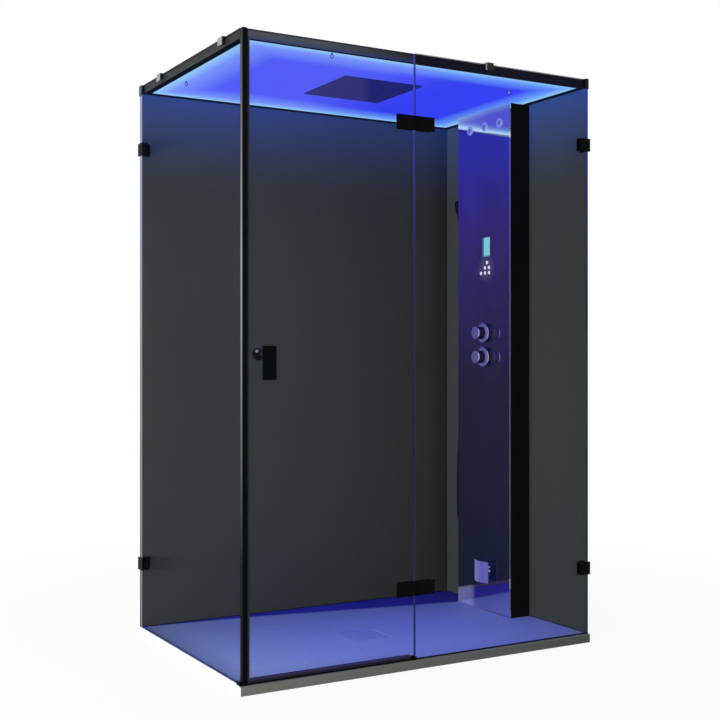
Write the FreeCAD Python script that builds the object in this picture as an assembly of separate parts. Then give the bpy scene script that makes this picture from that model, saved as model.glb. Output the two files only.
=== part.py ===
"""Steam shower cabin: glass front and left side, two closed walls, lit roof and a steam column.

All sizes are in millimetres. The origin is the middle of the tray's underside on the floor.
+X runs along the front to the column side, +Y to the back wall, +Z up. The front faces -Y.
"""

import FreeCAD, Part
import math
import os

# ---------------------------------------------------------------- driving sizes: shell
TRAY_LENGTH = 1506.0
TRAY_DEPTH = 1000.0
TRAY_HEIGHT = 33.0
TRAY_EDGE_RADIUS = 4.0
TRAY_CORNER_RADIUS = 6.0
FLOOR_BORDER = 34.0
FLOOR_FALL = 3.0

DRAIN_X = -25.0
DRAIN_Y = -60.0
DRAIN_COVER_SIDE = 152.0
DRAIN_COVER_THICKNESS = 4.0
DRAIN_COVER_CORNER = 6.0
DRAIN_GAP = 2.0
DRAIN_WELL_RADIUS = 55.0
DRAIN_WELL_DEPTH = 14.0
WASTE_RADIUS = 26.0
WASTE_WALL = 3.0
WASTE_CLEARANCE = 1.0
FLANGE_RADIUS = 46.0
FLANGE_THICKNESS = 3.0

CABIN_HEIGHT = 2220.0
SIDE_INSET = 5.0
FRONT_INSET = 10.0
GLASS = 8.0
GLASS_ARRIS = 0.8
LEFT_GLASS_TOP_GAP = 4.0
WALL = 10.0
SEAL_BED = 3.0
WALL_END_GAP = 0.5
FIXED_PANEL_OVERLAP = 6.0

# ---------------------------------------------------------------- driving sizes: roof
RAIL_WIDTH = 24.0
FRONT_RAIL_WIDTH = 12.0
RAIL_HEIGHT = 31.0
RAIL_WALL = 2.0
RAIL_LEDGE = 4.0
COVER_THICKNESS = 3.0
DOOR_RAIL_GAP = 1.0
DIFFUSER_THICKNESS = 4.0
DIFFUSER_GAP = 1.0
LED_THICKNESS = 3.0
LED_HEIGHT = 10.0
LED_END_GAP = 25.0
LED_DROP = 8.0

RAIN_HEAD_X = -7.0
RAIN_HEAD_Y = -15.0
RAIN_HEAD_SIDE = 344.0
RAIN_PLATE_THICKNESS = 3.0
RAIN_PLATE_GAP = 2.0
RAIN_CHAMBER_HEIGHT = 24.0
RAIN_CHAMBER_WALL = 1.5
RAIN_CHAMBER_INSET = 2.0
RAIN_MAT_THICKNESS = 2.0
RAIN_MAT_GAP = 1.0
NOZZLE_COUNT = 14
NOZZLE_PITCH = 24.0
NOZZLE_RADIUS = 1.7
NOZZLE_CLEARANCE = 0.3
NOZZLE_PROUD = 1.5
STUD_RADIUS = 3.0
STUD_INSET = 30.0

FRONT_FIXING_FROM_LEFT = 334.0
FRONT_FIXING_FROM_FRONT = 16.0
LEFT_FIXING_FROM_LEFT = 47.5
LEFT_FIXING_FROM_BACK = 271.0
RIGHT_FIXING_FROM_RIGHT = 222.5
RIGHT_FIXING_FROM_FRONT = 159.0
FIXING_RADIUS = 6.6
FIXING_DROP = 13.0
FIXING_STUD_RADIUS = 2.0
FIXING_STUD_CLEARANCE = 0.3

CLIP_REACH_DOWN = 23.0
CLIP_REACH_IN = 22.0
CLIP_TOP = 4.5
CLIP_EDGE_RADIUS = 0.8
FRONT_CLIP_X = 267.0
FRONT_CLIP_WIDTH = 30.0
FRONT_CLIP_THICKNESS = 10.0
SIDE_CLIP_PLACES = [-331.0, 271.0]
SIDE_CLIP_WIDTH = 40.0
SIDE_CLIP_THICKNESS = 6.0
CORNER_CLAMP_THICKNESS = 4.0
CORNER_CLAMP_DROP = 38.0
CORNER_CLAMP_TOP = 2.0
BACK_CORNER_CLAMP_WIDTH = 30.0
BACK_CORNER_CLAMP_INSET = 0.0
FRONT_CORNER_CLAMP_WIDTH = 16.0
FRONT_CORNER_CLAMP_INSET = 4.0

# ---------------------------------------------------------------- driving sizes: door
POST_WIDTH = 17.0
POST_DEPTH = 18.0
POST_WALL = 2.0
POST_TOP_GAP = 4.0
FOOT_HEIGHT = 13.0
FOOT_LENGTH = 24.0
FOOT_WALL = 4.0
MAGNET_GAP = 1.8
MAGNET_WALL = 1.7
MAGNET_DROP = 9.0
MAGNET_LIP = 5.0
MAGNET_LIP_THICKNESS = 1.0
DOOR_WIDTH = 656.0
DOOR_BOTTOM_GAP = 15.0
DOOR_TOP_GAP = 6.0
DOOR_SEAL_LIP = 5.0
DOOR_SEAL_HEIGHT = 15.0
DOOR_SEAL_START = 5.0
DOOR_SEAL_SHORT = 18.0
SPLIT_GAP = 5.0
SPLIT_SEAL_WIDTH = 4.0
SPLIT_SEAL_THICKNESS = 6.0
THRESHOLD_HEIGHT = 4.5
THRESHOLD_WIDTH = 20.0
THRESHOLD_PROUD = 3.0
BLOCK_WIDTH = 26.0
BLOCK_REACH = 19.0
BLOCK_PROUD = 5.0
BLOCK_DEPTH = 20.0

HINGE_HEIGHT = 51.0
HINGE_LEAF_WIDTH = 75.0
HINGE_INNER_SHORT = 12.0
HINGE_OUTER = 8.0
HINGE_INNER = 7.0
HINGE_SETBACK = 4.5
HINGE_TOP_MARGIN = 252.5
HINGE_LOWER_Z = 290.0
HINGE_EDGE_RADIUS = 1.2
KNUCKLE_RADIUS = 3.8
KNUCKLE_PIN_RADIUS = 2.0
KNUCKLE_PIN_CLEARANCE = 0.06
KNUCKLE_END = 13.0
KNUCKLE_GAP = 0.4
KNUCKLE_WEB = 5.0
SCREW_RADIUS = 2.9
SCREW_CLEARANCE = 0.1
SCREW_HEAD_RADIUS = 5.0
SCREW_HEAD = 2.5
SCREW_BITE = 5.0
GLASS_HOLE_RADIUS = 5.0
HINGE_SCREW_PLACES = [22.0, 58.0]

HANDLE_X_FROM_EDGE = 69.5
HANDLE_WIDTH = 52.0
HANDLE_HEIGHT = 115.0
HANDLE_THICKNESS = 7.0
HANDLE_STANDOFF = 15.0
HANDLE_BOTTOM_Z = 1047.0
HANDLE_EDGE_RADIUS = 1.5
HANDLE_BOLT_RISE = 87.0
HANDLE_POST_RADIUS = 9.0
KNOB_RADIUS = 22.0
KNOB_STEM_RADIUS = 8.0
KNOB_STEM = 62.0
KNOB_BASE_RADIUS = 13.0
KNOB_BASE = 4.0

CLAMP_SIZE = 50.0
CLAMP_PAST_CORNER = 10.0
CLAMP_OUTER = 8.0
CLAMP_INNER = 7.0
CLAMP_TOP_MARGIN = 260.0
CLAMP_LOWER_Z = 292.0
CLAMP_WALL_LEG = 22.0
CLAMP_SCREW_INSET = 26.0
CLAMP_WALL_SCREW = 11.0

# ---------------------------------------------------------------- driving sizes: column
COLUMN_DEPTH = 102.0
COLUMN_WIDTH = 377.0
COLUMN_CENTRE_Y = 63.5
COLUMN_TOP_GAP = 0.5
COLUMN_SHEET = 3.0
COLUMN_LIP = 6.0
MIRROR_THICKNESS = 6.0
CONTROL_OFFSET = -19.5

SCREEN_WIDTH = 56.0
SCREEN_HEIGHT = 82.0
SCREEN_Z = 1597.0
SCREEN_GAP = 0.3
SCREEN_RECESS = 0.4
BOARD_GAP = 5.0
BOARD_THICKNESS = 1.6
BOARD_WIDTH = 130.0
BOARD_MARGIN = 12.0
BOARD_POST_RADIUS = 3.0
BOARD_POST_INSET = 5.0

BUTTON_RADIUS = 7.2
BUTTON_CLEARANCE = 0.5
BUTTON_PROUD = 1.3
BUTTON_ROUND = 0.8
BUTTON_COLLAR_RADIUS = 9.2
BUTTON_COLLAR = 1.2
BUTTON_COLLAR_GAP = 0.3
BUTTON_STEM_RADIUS = 2.0
BUTTON_TRAVEL = 1.2
BUTTON_TRAVEL_SPARE = 0.3
BUTTON_PITCH_Y = 29.0
BUTTON_PITCH_Z = 22.0
BUTTON_LOW_Z = 1486.0
BUTTON_RIGHT_Y = 21.5

JET_TOP_MARGIN = 70.5
JET_PITCH = 106.0
JET_OFFSET = 10.0
JET_BALL_RADIUS = 12.0
JET_CLEARANCE = 0.3
JET_BODY_RADIUS = 15.0
JET_BEZEL_RADIUS = 19.0
JET_BEZEL = 3.5
JET_BEZEL_ROUND = 1.2
JET_BALL_SINK = 5.0
JET_FACE_PROUD = 4.0
JET_BODY_DEPTH = 32.0
JET_BORE_RADIUS = 3.5
JET_HOLE_CLEARANCE = 0.5

VALVE_UPPER_Z = 1228.0
VALVE_LOWER_Z = 1125.0
MANIFOLD_GAP = 11.0
MANIFOLD_DEPTH = 60.0
MANIFOLD_WIDTH = 96.0
MANIFOLD_MARGIN = 34.0
MANIFOLD_ROUND = 4.0
NOSE_RADIUS = 20.0
NOSE_PROUD = 10.0
NOSE_CLEARANCE = 1.0
ESCUTCHEON_RADIUS = 42.0
ESCUTCHEON_DEPTH = 19.0
ESCUTCHEON_CLEARANCE = 0.3
ESCUTCHEON_ROUND = 3.0
VALVE_KNOB_RADIUS = 27.0
VALVE_KNOB_LENGTH = 38.0
VALVE_KNOB_GAP = 0.6
VALVE_KNOB_ROUND = 3.0
VALVE_KNOB_FLUTES = 12
FLUTE_RADIUS = 2.0
FLUTE_START = 6.0
SPINDLE_RADIUS = 6.0
SPINDLE_CLEARANCE = 0.06
SPINDLE_PASS = 2.0
SPINDLE_BITE = 40.0
GRIP_PIN_RADIUS = 3.0
GRIP_PIN_PROUD = 7.0
GRIP_PIN_BACK = 20.0

INLET_SPACING = 50.0
INLET_Z = 1176.5
INLET_RADIUS = 14.0
INLET_CLEARANCE = 0.5
INLET_BORE_RADIUS = 9.5
INLET_BORE_DEPTH = 14.0
POWER_ENTRY_RADIUS = 10.0
POWER_ENTRY_Y = 150.0
POWER_ENTRY_Z = 1800.0

PIPE_RADIUS = 7.5
PIPE_WALL = 1.5
PIPE_BEND = 24.0
PIPE_CLEARANCE = 1.5
PIPE_BEND_CLEARANCE = 5.0
RISER_SETBACK = 40.0
RAIN_RISER_OFFSET = 18.0
JET_RISER_OFFSET = -34.0
JET_PIPE_RADIUS = 6.0
HOSE_FEED_OFFSET = 26.0

TANK_GAP = 7.0
TANK_BACK_GAP = 4.0
TANK_LOW_Z = 300.0
TANK_HIGH_Z = 600.0
TANK_SIDE_GAP = 14.0
TANK_PIPE_ROOM = 42.0
TANK_WALL = 2.0
TANK_CORNER = 10.0
TANK_RAIL_WIDTH = 30.0
TANK_RAIL_END = 20.0
ELEMENT_RADIUS = 4.0
ELEMENT_SPREAD = 40.0
ELEMENT_Z = 330.0
ELEMENT_END_GAP = 40.0
ELEMENT_BEND = 19.0
STEAM_PIPE_RADIUS = 8.0
STEAM_PIPE_BEND = 17.0
STEAM_PORT_DROP = 30.0
STEAM_PORT_RUN = 3.0
STEAM_OUTLET_Z = 206.0
STEAM_NOZZLE_RADIUS = 24.0
STEAM_NOZZLE_PROUD = 12.0
STEAM_NOZZLE_FLANGE = 5.0
STEAM_NOZZLE_PASS = 16.0
STEAM_NOZZLE_ROUND = 2.0
SHIELD_WIDTH = 96.0
SHIELD_HEIGHT = 90.0
SHIELD_THICKNESS = 2.5
SHIELD_BULGE = 12.0
SHIELD_STANDOFF = 22.0
SHIELD_POST_RADIUS = 4.0
SHIELD_POST_SPREAD = 14.0

# ---------------------------------------------------------------- driving sizes: hand shower
HANDSET_TILT = 14.0
HANDSET_LENGTH = 226.0
HANDSET_HANDLE_RADIUS = 10.5
HANDSET_TAPER_RADIUS = 12.5
HANDSET_HEAD_RADIUS = 16.0
HANDSET_HEAD_LENGTH = 70.0
HANDSET_NUT_RADIUS = 9.0
HANDSET_NUT = 18.0
HANDSET_FROM_WALL = 47.0
HANDSET_FROM_COLUMN = 27.1
HANDSET_BOTTOM_Z = 1611.0
CUP_LOW = 32.0
CUP_HEIGHT = 28.0
CUP_WALL = 4.5
CUP_CLEARANCE = 0.3
CUP_ARM = 16.0
CUP_PLATE_RADIUS = 20.0
CUP_PLATE = 4.0

HOSE_DIAMETER = 12.0
HOSE_START_GAP = 0.1
HOSE_START_RUN = 41.0
# the hose's route below the handset: distance from the end wall, distance beyond the column, height
HOSE_ROUTE = [
    (46.0, 20.0, 1500.0),
    (44.0, 31.0, 1390.0),
    (40.0, 49.0, 1240.0),
    (34.0, 67.0, 1080.0),
    (30.0, 89.0, 910.0),
    (24.0, 105.0, 745.0),
    (22.0, 118.0, 590.0),
    (19.0, 122.0, 485.0),
    (20.0, 121.0, 415.0),
    (33.5, 91.7, 383.0),
    (52.5, 50.3, 383.0),
    (66.0, 21.0, 415.0),
    (66.5, 20.0, 478.0),
    (65.0, 23.0, 560.0),
    (65.0, 23.0, 625.0),
]
ELBOW_BODY_RADIUS = 9.0
ELBOW_BALL_RADIUS = 10.0
ELBOW_NUT_RADIUS = 9.5
ELBOW_NUT = 16.0
ELBOW_RISE = 27.0
ELBOW_PLATE_RADIUS = 22.0
ELBOW_PLATE = 4.0

# ---------------------------------------------------------------- planes worked out from the sizes
LEFT_OUT = -TRAY_LENGTH / 2 + SIDE_INSET
LEFT_IN = LEFT_OUT + GLASS
FRONT_OUT = -TRAY_DEPTH / 2 + FRONT_INSET
FRONT_IN = FRONT_OUT + GLASS
RIGHT_OUT = TRAY_LENGTH / 2
RIGHT_IN = RIGHT_OUT - WALL
BACK_OUT = TRAY_DEPTH / 2
BACK_IN = BACK_OUT - WALL
PANEL_BOTTOM = TRAY_HEIGHT + SEAL_BED
LEFT_GLASS_TOP = CABIN_HEIGHT - LEFT_GLASS_TOP_GAP

RAIL_TOP = CABIN_HEIGHT - COVER_THICKNESS
RAIL_BOTTOM = RAIL_TOP - RAIL_HEIGHT
RAIL_FRONT = FRONT_IN + DOOR_RAIL_GAP
WEB_LEFT = LEFT_IN + RAIL_WIDTH
WEB_RIGHT = RIGHT_IN - RAIL_WIDTH
WEB_FRONT = RAIL_FRONT + FRONT_RAIL_WIDTH
WEB_BACK = BACK_IN - RAIL_WIDTH
DIFFUSER_BOTTOM = RAIL_BOTTOM + RAIL_WALL
DIFFUSER_TOP = DIFFUSER_BOTTOM + DIFFUSER_THICKNESS
FIXING_PLACES = [
    (WEB_LEFT + FRONT_FIXING_FROM_LEFT, WEB_FRONT + FRONT_FIXING_FROM_FRONT),
    (WEB_LEFT + LEFT_FIXING_FROM_LEFT, WEB_BACK - LEFT_FIXING_FROM_BACK),
    (WEB_RIGHT - RIGHT_FIXING_FROM_RIGHT, WEB_FRONT + RIGHT_FIXING_FROM_FRONT),
]
RAIN_PLATE_BOTTOM = DIFFUSER_BOTTOM - RAIN_PLATE_THICKNESS
RAIN_CHAMBER_TOP = DIFFUSER_BOTTOM + RAIN_CHAMBER_HEIGHT

POST_RIGHT = LEFT_IN + POST_WIDTH
DOOR_LEFT = POST_RIGHT + MAGNET_GAP + MAGNET_WALL
DOOR_RIGHT = DOOR_LEFT + DOOR_WIDTH
DOOR_BOTTOM = TRAY_HEIGHT + DOOR_BOTTOM_GAP
DOOR_TOP = CABIN_HEIGHT - DOOR_TOP_GAP
FIXED_LEFT = DOOR_RIGHT + SPLIT_GAP
FIXED_RIGHT = RIGHT_IN + FIXED_PANEL_OVERLAP
HINGE_X = (DOOR_RIGHT + FIXED_LEFT) / 2
HINGE_Y = FRONT_OUT - HINGE_OUTER / 2
BLOCK_RIGHT = FIXED_LEFT + BLOCK_WIDTH - BLOCK_REACH
BLOCK_LEFT = FIXED_LEFT - BLOCK_REACH

COLUMN_FRONT = RIGHT_IN - COLUMN_DEPTH
SHEET_FRONT = COLUMN_FRONT + MIRROR_THICKNESS
SHEET_BACK = SHEET_FRONT + COLUMN_SHEET
COLUMN_NEAR = COLUMN_CENTRE_Y - COLUMN_WIDTH / 2
COLUMN_FAR = COLUMN_CENTRE_Y + COLUMN_WIDTH / 2
COLUMN_TOP = RAIL_BOTTOM - COLUMN_TOP_GAP
CONTROL_Y = COLUMN_CENTRE_Y + CONTROL_OFFSET
BOARD_FRONT = SHEET_BACK + BOARD_GAP
MANIFOLD_FRONT = SHEET_BACK + MANIFOLD_GAP
MANIFOLD_BACK = MANIFOLD_FRONT + MANIFOLD_DEPTH
MANIFOLD_LOW = VALVE_LOWER_Z - MANIFOLD_MARGIN
MANIFOLD_HIGH = VALVE_UPPER_Z + MANIFOLD_MARGIN
NOSE_FRONT = COLUMN_FRONT - NOSE_PROUD
ESCUTCHEON_FRONT = COLUMN_FRONT - ESCUTCHEON_DEPTH
VALVE_KNOB_BACK = ESCUTCHEON_FRONT - VALVE_KNOB_GAP
VALVE_KNOB_FRONT = VALVE_KNOB_BACK - VALVE_KNOB_LENGTH
JET_Z = COLUMN_TOP - JET_TOP_MARGIN
JET_CENTRE_X = COLUMN_FRONT + JET_BALL_SINK
JET_BODY_BACK = COLUMN_FRONT + JET_BODY_DEPTH
JET_PLACES = [CONTROL_Y + JET_OFFSET + JET_PITCH * step for step in (-1, 0, 1)]
RAIN_RISER_Y = CONTROL_Y + RAIN_RISER_OFFSET
RISER_X = RIGHT_IN - RISER_SETBACK
HOSE_FEED_X = RIGHT_IN - HOSE_ROUTE[-1][0]
HOSE_FEED_Y = CONTROL_Y + HOSE_FEED_OFFSET
HANDSET_BOTTOM = (RIGHT_IN - HANDSET_FROM_WALL, COLUMN_FAR + HANDSET_FROM_COLUMN, HANDSET_BOTTOM_Z)
TANK_FRONT = SHEET_BACK + TANK_GAP
TANK_BACK = RIGHT_IN - TANK_BACK_GAP
TANK_NEAR = COLUMN_NEAR + COLUMN_SHEET + TANK_PIPE_ROOM
TANK_FAR = COLUMN_FAR - COLUMN_SHEET - TANK_SIDE_GAP
NOZZLE_FRONT = COLUMN_FRONT - STEAM_NOZZLE_PROUD

ALONG_X = FreeCAD.Vector(1, 0, 0)
ALONG_Y = FreeCAD.Vector(0, 1, 0)
ALONG_Z = FreeCAD.Vector(0, 0, 1)

HANDSET_LEAN = math.radians(HANDSET_TILT)
HANDSET_AXIS = FreeCAD.Vector(0, math.sin(HANDSET_LEAN), math.cos(HANDSET_LEAN))
HOSE_DROPS = (HOSE_START_GAP, HOSE_START_RUN)
HOSE_POINTS = [tuple(FreeCAD.Vector(*HANDSET_BOTTOM) - HANDSET_AXIS * drop) for drop in HOSE_DROPS]
HOSE_POINTS += [(RIGHT_IN - back, COLUMN_FAR + out, height) for back, out, height in HOSE_ROUTE]


# ---------------------------------------------------------------- helpers
def block(x_span, y_span, z_span):
    """A box from three (low, high) spans."""
    low = FreeCAD.Vector(x_span[0], y_span[0], z_span[0])
    return Part.makeBox(x_span[1] - x_span[0], y_span[1] - y_span[0], z_span[1] - z_span[0], low)


def rod(radius, start, end):
    """A cylinder between two points."""
    start = FreeCAD.Vector(*start)
    along = FreeCAD.Vector(*end) - start
    return Part.makeCylinder(radius, along.Length, start, along)


def ball(radius, centre):
    return Part.makeSphere(radius, FreeCAD.Vector(*centre))


def edges_along(shape, direction):
    """The straight edges of a shape that run along a direction."""
    found = []
    for edge in shape.Edges:
        if edge.Curve.TypeId == "Part::GeomLine":
            if edge.tangentAt(edge.FirstParameter).cross(direction).Length < 1e-6:
                found.append(edge)
    return found


def softened(shape, radius, direction=None):
    """A shape with its straight edges rounded, or only those along one direction."""
    if direction is None:
        return shape.makeFillet(radius, shape.Edges)
    return shape.makeFillet(radius, edges_along(shape, direction))


def arrissed(shape):
    """A glass pane with its sharp edges taken off."""
    return shape.makeChamfer(GLASS_ARRIS, shape.Edges)


def joined(first, *others):
    """One solid made of overlapping or touching ones."""
    return first.multiFuse(list(others)).removeSplitter()


def tube_path(points, radius_at):
    """Straight runs joined by tangent arcs. radius_at(before, after, turn) gives each arc's radius."""
    corners = [FreeCAD.Vector(*point) for point in points]
    edges = []
    radii = []
    start = corners[0]
    for before, corner, after in zip(corners, corners[1:], corners[2:]):
        arriving = (corner - before).normalize()
        leaving = (after - corner).normalize()
        turn = arriving.getAngle(leaving)
        radius = radius_at((corner - before).Length, (after - corner).Length, turn)
        trim = radius * math.tan(turn / 2)
        arc_start = corner - arriving * trim
        arc_end = corner + leaving * trim
        inward = (leaving - arriving).normalize()
        arc_middle = corner + inward * (radius / math.cos(turn / 2) - radius)
        edges.append(Part.LineSegment(start, arc_start).toShape())
        edges.append(Part.Arc(arc_start, arc_middle, arc_end).toShape())
        radii.append(radius)
        start = arc_end
    edges.append(Part.LineSegment(start, corners[-1]).toShape())
    return Part.Wire(edges), radii


def swept(path, radius, points):
    """A solid round bar along a path."""
    start = FreeCAD.Vector(*points[0])
    along = FreeCAD.Vector(*points[1]) - start
    ring = Part.Wire([Part.makeCircle(radius, start, along)])
    return path.makePipeShell([ring], True, False)


def pipe(points, radius, wall, bend):
    """A hollow water pipe with equal bends."""
    path, radii = tube_path(points, lambda before, after, turn: bend)
    return swept(path, radius, points).cut(swept(path, radius - wall, points))


def save(name, *solids):
    """Write one named sub-part, a single solid or a group of separate ones."""
    shape = solids[0] if len(solids) == 1 else Part.makeCompound(list(solids))
    shape.exportStep(os.path.join("parts", name + ".step"))


# ---------------------------------------------------------------- tray and drain
def drain_square(half, z_span):
    return block((DRAIN_X - half, DRAIN_X + half), (DRAIN_Y - half, DRAIN_Y + half), z_span)


SEAT_HALF = DRAIN_COVER_SIDE / 2 + DRAIN_GAP
SEAT_TOP = TRAY_HEIGHT - FLOOR_FALL
SEAT_BOTTOM = SEAT_TOP - DRAIN_COVER_THICKNESS
WELL_BOTTOM = SEAT_BOTTOM - DRAIN_WELL_DEPTH
WASTE_OUTER = WASTE_RADIUS + WASTE_WALL


def floor_slope():
    """The space above the sloping floor: four planes that fall from a level border to the drain."""
    left = -TRAY_LENGTH / 2 + FLOOR_BORDER
    right = COLUMN_FRONT - FLOOR_BORDER
    front = -TRAY_DEPTH / 2 + FLOOR_BORDER
    back = TRAY_DEPTH / 2 - FLOOR_BORDER
    rim = [(left, front), (right, front), (right, back), (left, back)]
    seat = [
        (DRAIN_X - SEAT_HALF, DRAIN_Y - SEAT_HALF),
        (DRAIN_X + SEAT_HALF, DRAIN_Y - SEAT_HALF),
        (DRAIN_X + SEAT_HALF, DRAIN_Y + SEAT_HALF),
        (DRAIN_X - SEAT_HALF, DRAIN_Y + SEAT_HALF),
    ]
    rings = []
    for corners, z in ((seat, SEAT_TOP), (rim, TRAY_HEIGHT)):
        points = [FreeCAD.Vector(x, y, z) for x, y in corners]
        rings.append(Part.makePolygon(points + points[:1]))
    return Part.makeLoft(rings, True, True)


def tray():
    body = block(
        (-TRAY_LENGTH / 2, TRAY_LENGTH / 2),
        (-TRAY_DEPTH / 2, TRAY_DEPTH / 2),
        (0, TRAY_HEIGHT),
    )
    body = softened(body, TRAY_CORNER_RADIUS, ALONG_Z)
    rim_edges = [edge for edge in body.Edges if edge.BoundBox.ZMin > TRAY_HEIGHT - 1e-6]
    body = body.makeFillet(TRAY_EDGE_RADIUS, rim_edges)
    body = body.cut(floor_slope())
    body = body.cut(drain_square(SEAT_HALF, (SEAT_BOTTOM, TRAY_HEIGHT)))
    well = rod(DRAIN_WELL_RADIUS, (DRAIN_X, DRAIN_Y, WELL_BOTTOM), (DRAIN_X, DRAIN_Y, SEAT_BOTTOM))
    outlet = rod(WASTE_OUTER + WASTE_CLEARANCE, (DRAIN_X, DRAIN_Y, 0), (DRAIN_X, DRAIN_Y, WELL_BOTTOM))
    return body.cut(well).cut(outlet)


def drain_flange():
    """A dished ring in the well, with the spigot that takes the waste pipe."""
    ring_top = WELL_BOTTOM + FLANGE_THICKNESS
    ring = rod(FLANGE_RADIUS, (DRAIN_X, DRAIN_Y, WELL_BOTTOM), (DRAIN_X, DRAIN_Y, ring_top))
    spigot = rod(WASTE_OUTER, (DRAIN_X, DRAIN_Y, 0), (DRAIN_X, DRAIN_Y, WELL_BOTTOM))
    bore = rod(WASTE_RADIUS, (DRAIN_X, DRAIN_Y, 0), (DRAIN_X, DRAIN_Y, ring_top))
    return joined(ring, spigot).cut(bore)


def drain_cover():
    cover = drain_square(DRAIN_COVER_SIDE / 2, (SEAT_BOTTOM, SEAT_TOP))
    cover = softened(cover, DRAIN_COVER_CORNER, ALONG_Z)
    top_edges = [edge for edge in cover.Edges if edge.BoundBox.ZMin > SEAT_TOP - 1e-6]
    return cover.makeChamfer(GLASS_ARRIS, top_edges)


# ---------------------------------------------------------------- panels
CLAMP_HEIGHTS = (CABIN_HEIGHT - CLAMP_TOP_MARGIN, CLAMP_LOWER_Z)
HINGE_HEIGHTS = (CABIN_HEIGHT - HINGE_TOP_MARGIN, HINGE_LOWER_Z)
PANEL_SPAN = (PANEL_BOTTOM, CABIN_HEIGHT)


def through_front(x, z, radius):
    """A hole tool through the front glass."""
    return rod(radius, (x, FRONT_OUT - WALL, z), (x, FRONT_IN + WALL, z))


def left_glass_panel():
    pane = arrissed(block((LEFT_OUT, LEFT_IN), (FRONT_OUT, BACK_OUT), (PANEL_BOTTOM, LEFT_GLASS_TOP)))
    for z in CLAMP_HEIGHTS:
        y = BACK_IN + CLAMP_PAST_CORNER - CLAMP_SCREW_INSET
        pane = pane.cut(rod(GLASS_HOLE_RADIUS, (LEFT_OUT - 1, y, z), (LEFT_IN + 1, y, z)))
    return pane


def fixed_glass_panel():
    pane = arrissed(block((FIXED_LEFT, FIXED_RIGHT), (FRONT_OUT, FRONT_IN), PANEL_SPAN))
    for z in CLAMP_HEIGHTS:
        x = RIGHT_IN + CLAMP_PAST_CORNER - CLAMP_SCREW_INSET
        pane = pane.cut(through_front(x, z, GLASS_HOLE_RADIUS))
    for z in HINGE_HEIGHTS:
        for place in HINGE_SCREW_PLACES:
            pane = pane.cut(through_front(HINGE_X + place, z, GLASS_HOLE_RADIUS))
    return pane


def back_wall_panel():
    panel = block((LEFT_IN, RIGHT_OUT), (BACK_IN, BACK_OUT), PANEL_SPAN)
    for z in CLAMP_HEIGHTS:
        x = LEFT_IN + CLAMP_INNER + CLAMP_WALL_SCREW
        panel = panel.cut(wall_screw_hole_back(x, z))
    return panel


def right_wall_panel():
    panel = block((RIGHT_IN, RIGHT_OUT), (FRONT_IN + WALL_END_GAP, BACK_IN), PANEL_SPAN)
    for z in CLAMP_HEIGHTS:
        y = FRONT_IN + CLAMP_INNER + CLAMP_WALL_SCREW
        panel = panel.cut(wall_screw_hole_right(y, z))
    for y in inlet_places():
        panel = panel.cut(
            rod(INLET_RADIUS + INLET_CLEARANCE, (RIGHT_IN - 1, y, INLET_Z), (RIGHT_OUT + 1, y, INLET_Z))
        )
    power = rod(
        POWER_ENTRY_RADIUS,
        (RIGHT_IN - 1, POWER_ENTRY_Y, POWER_ENTRY_Z),
        (RIGHT_OUT + 1, POWER_ENTRY_Y, POWER_ENTRY_Z),
    )
    return panel.cut(power)


def inlet_places():
    """Y of the cold and the hot inlet."""
    return (CONTROL_Y - INLET_SPACING / 2, CONTROL_Y + INLET_SPACING / 2)


def panel_seals():
    """The bed under each panel, and the tape between the fixed glass and the front rail."""
    bed = (TRAY_HEIGHT, PANEL_BOTTOM)
    tape = block((FIXED_LEFT, RIGHT_IN), (FRONT_IN, RAIL_FRONT), (RAIL_BOTTOM, RAIL_TOP))
    return [
        block((LEFT_OUT, LEFT_IN), (FRONT_OUT + FOOT_LENGTH, BACK_OUT), bed),
        block((BLOCK_RIGHT, FIXED_RIGHT), (FRONT_OUT, FRONT_IN), bed),
        block((LEFT_IN, RIGHT_OUT), (BACK_IN, BACK_OUT), bed),
        block((RIGHT_IN, RIGHT_OUT), (FRONT_IN + WALL_END_GAP, BACK_IN), bed),
        tape,
    ]


# ---------------------------------------------------------------- corner post and sill
POST_FOOT_TOP = TRAY_HEIGHT + FOOT_HEIGHT


def corner_post():
    span = (POST_FOOT_TOP, RAIL_BOTTOM - POST_TOP_GAP)
    back = FRONT_OUT + POST_DEPTH
    outer = block((LEFT_IN, POST_RIGHT), (FRONT_OUT, back), span)
    inner = block(
        (LEFT_IN + POST_WALL, POST_RIGHT - POST_WALL),
        (FRONT_OUT + POST_WALL, back - POST_WALL),
        span,
    )
    tube = outer.cut(inner)
    # above the bottom of the rail only the part in front of the rail goes on, to the glass top
    head = block((LEFT_IN, POST_RIGHT), (FRONT_OUT, FRONT_IN), (span[1], CABIN_HEIGHT))
    return joined(tube, head)


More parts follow.
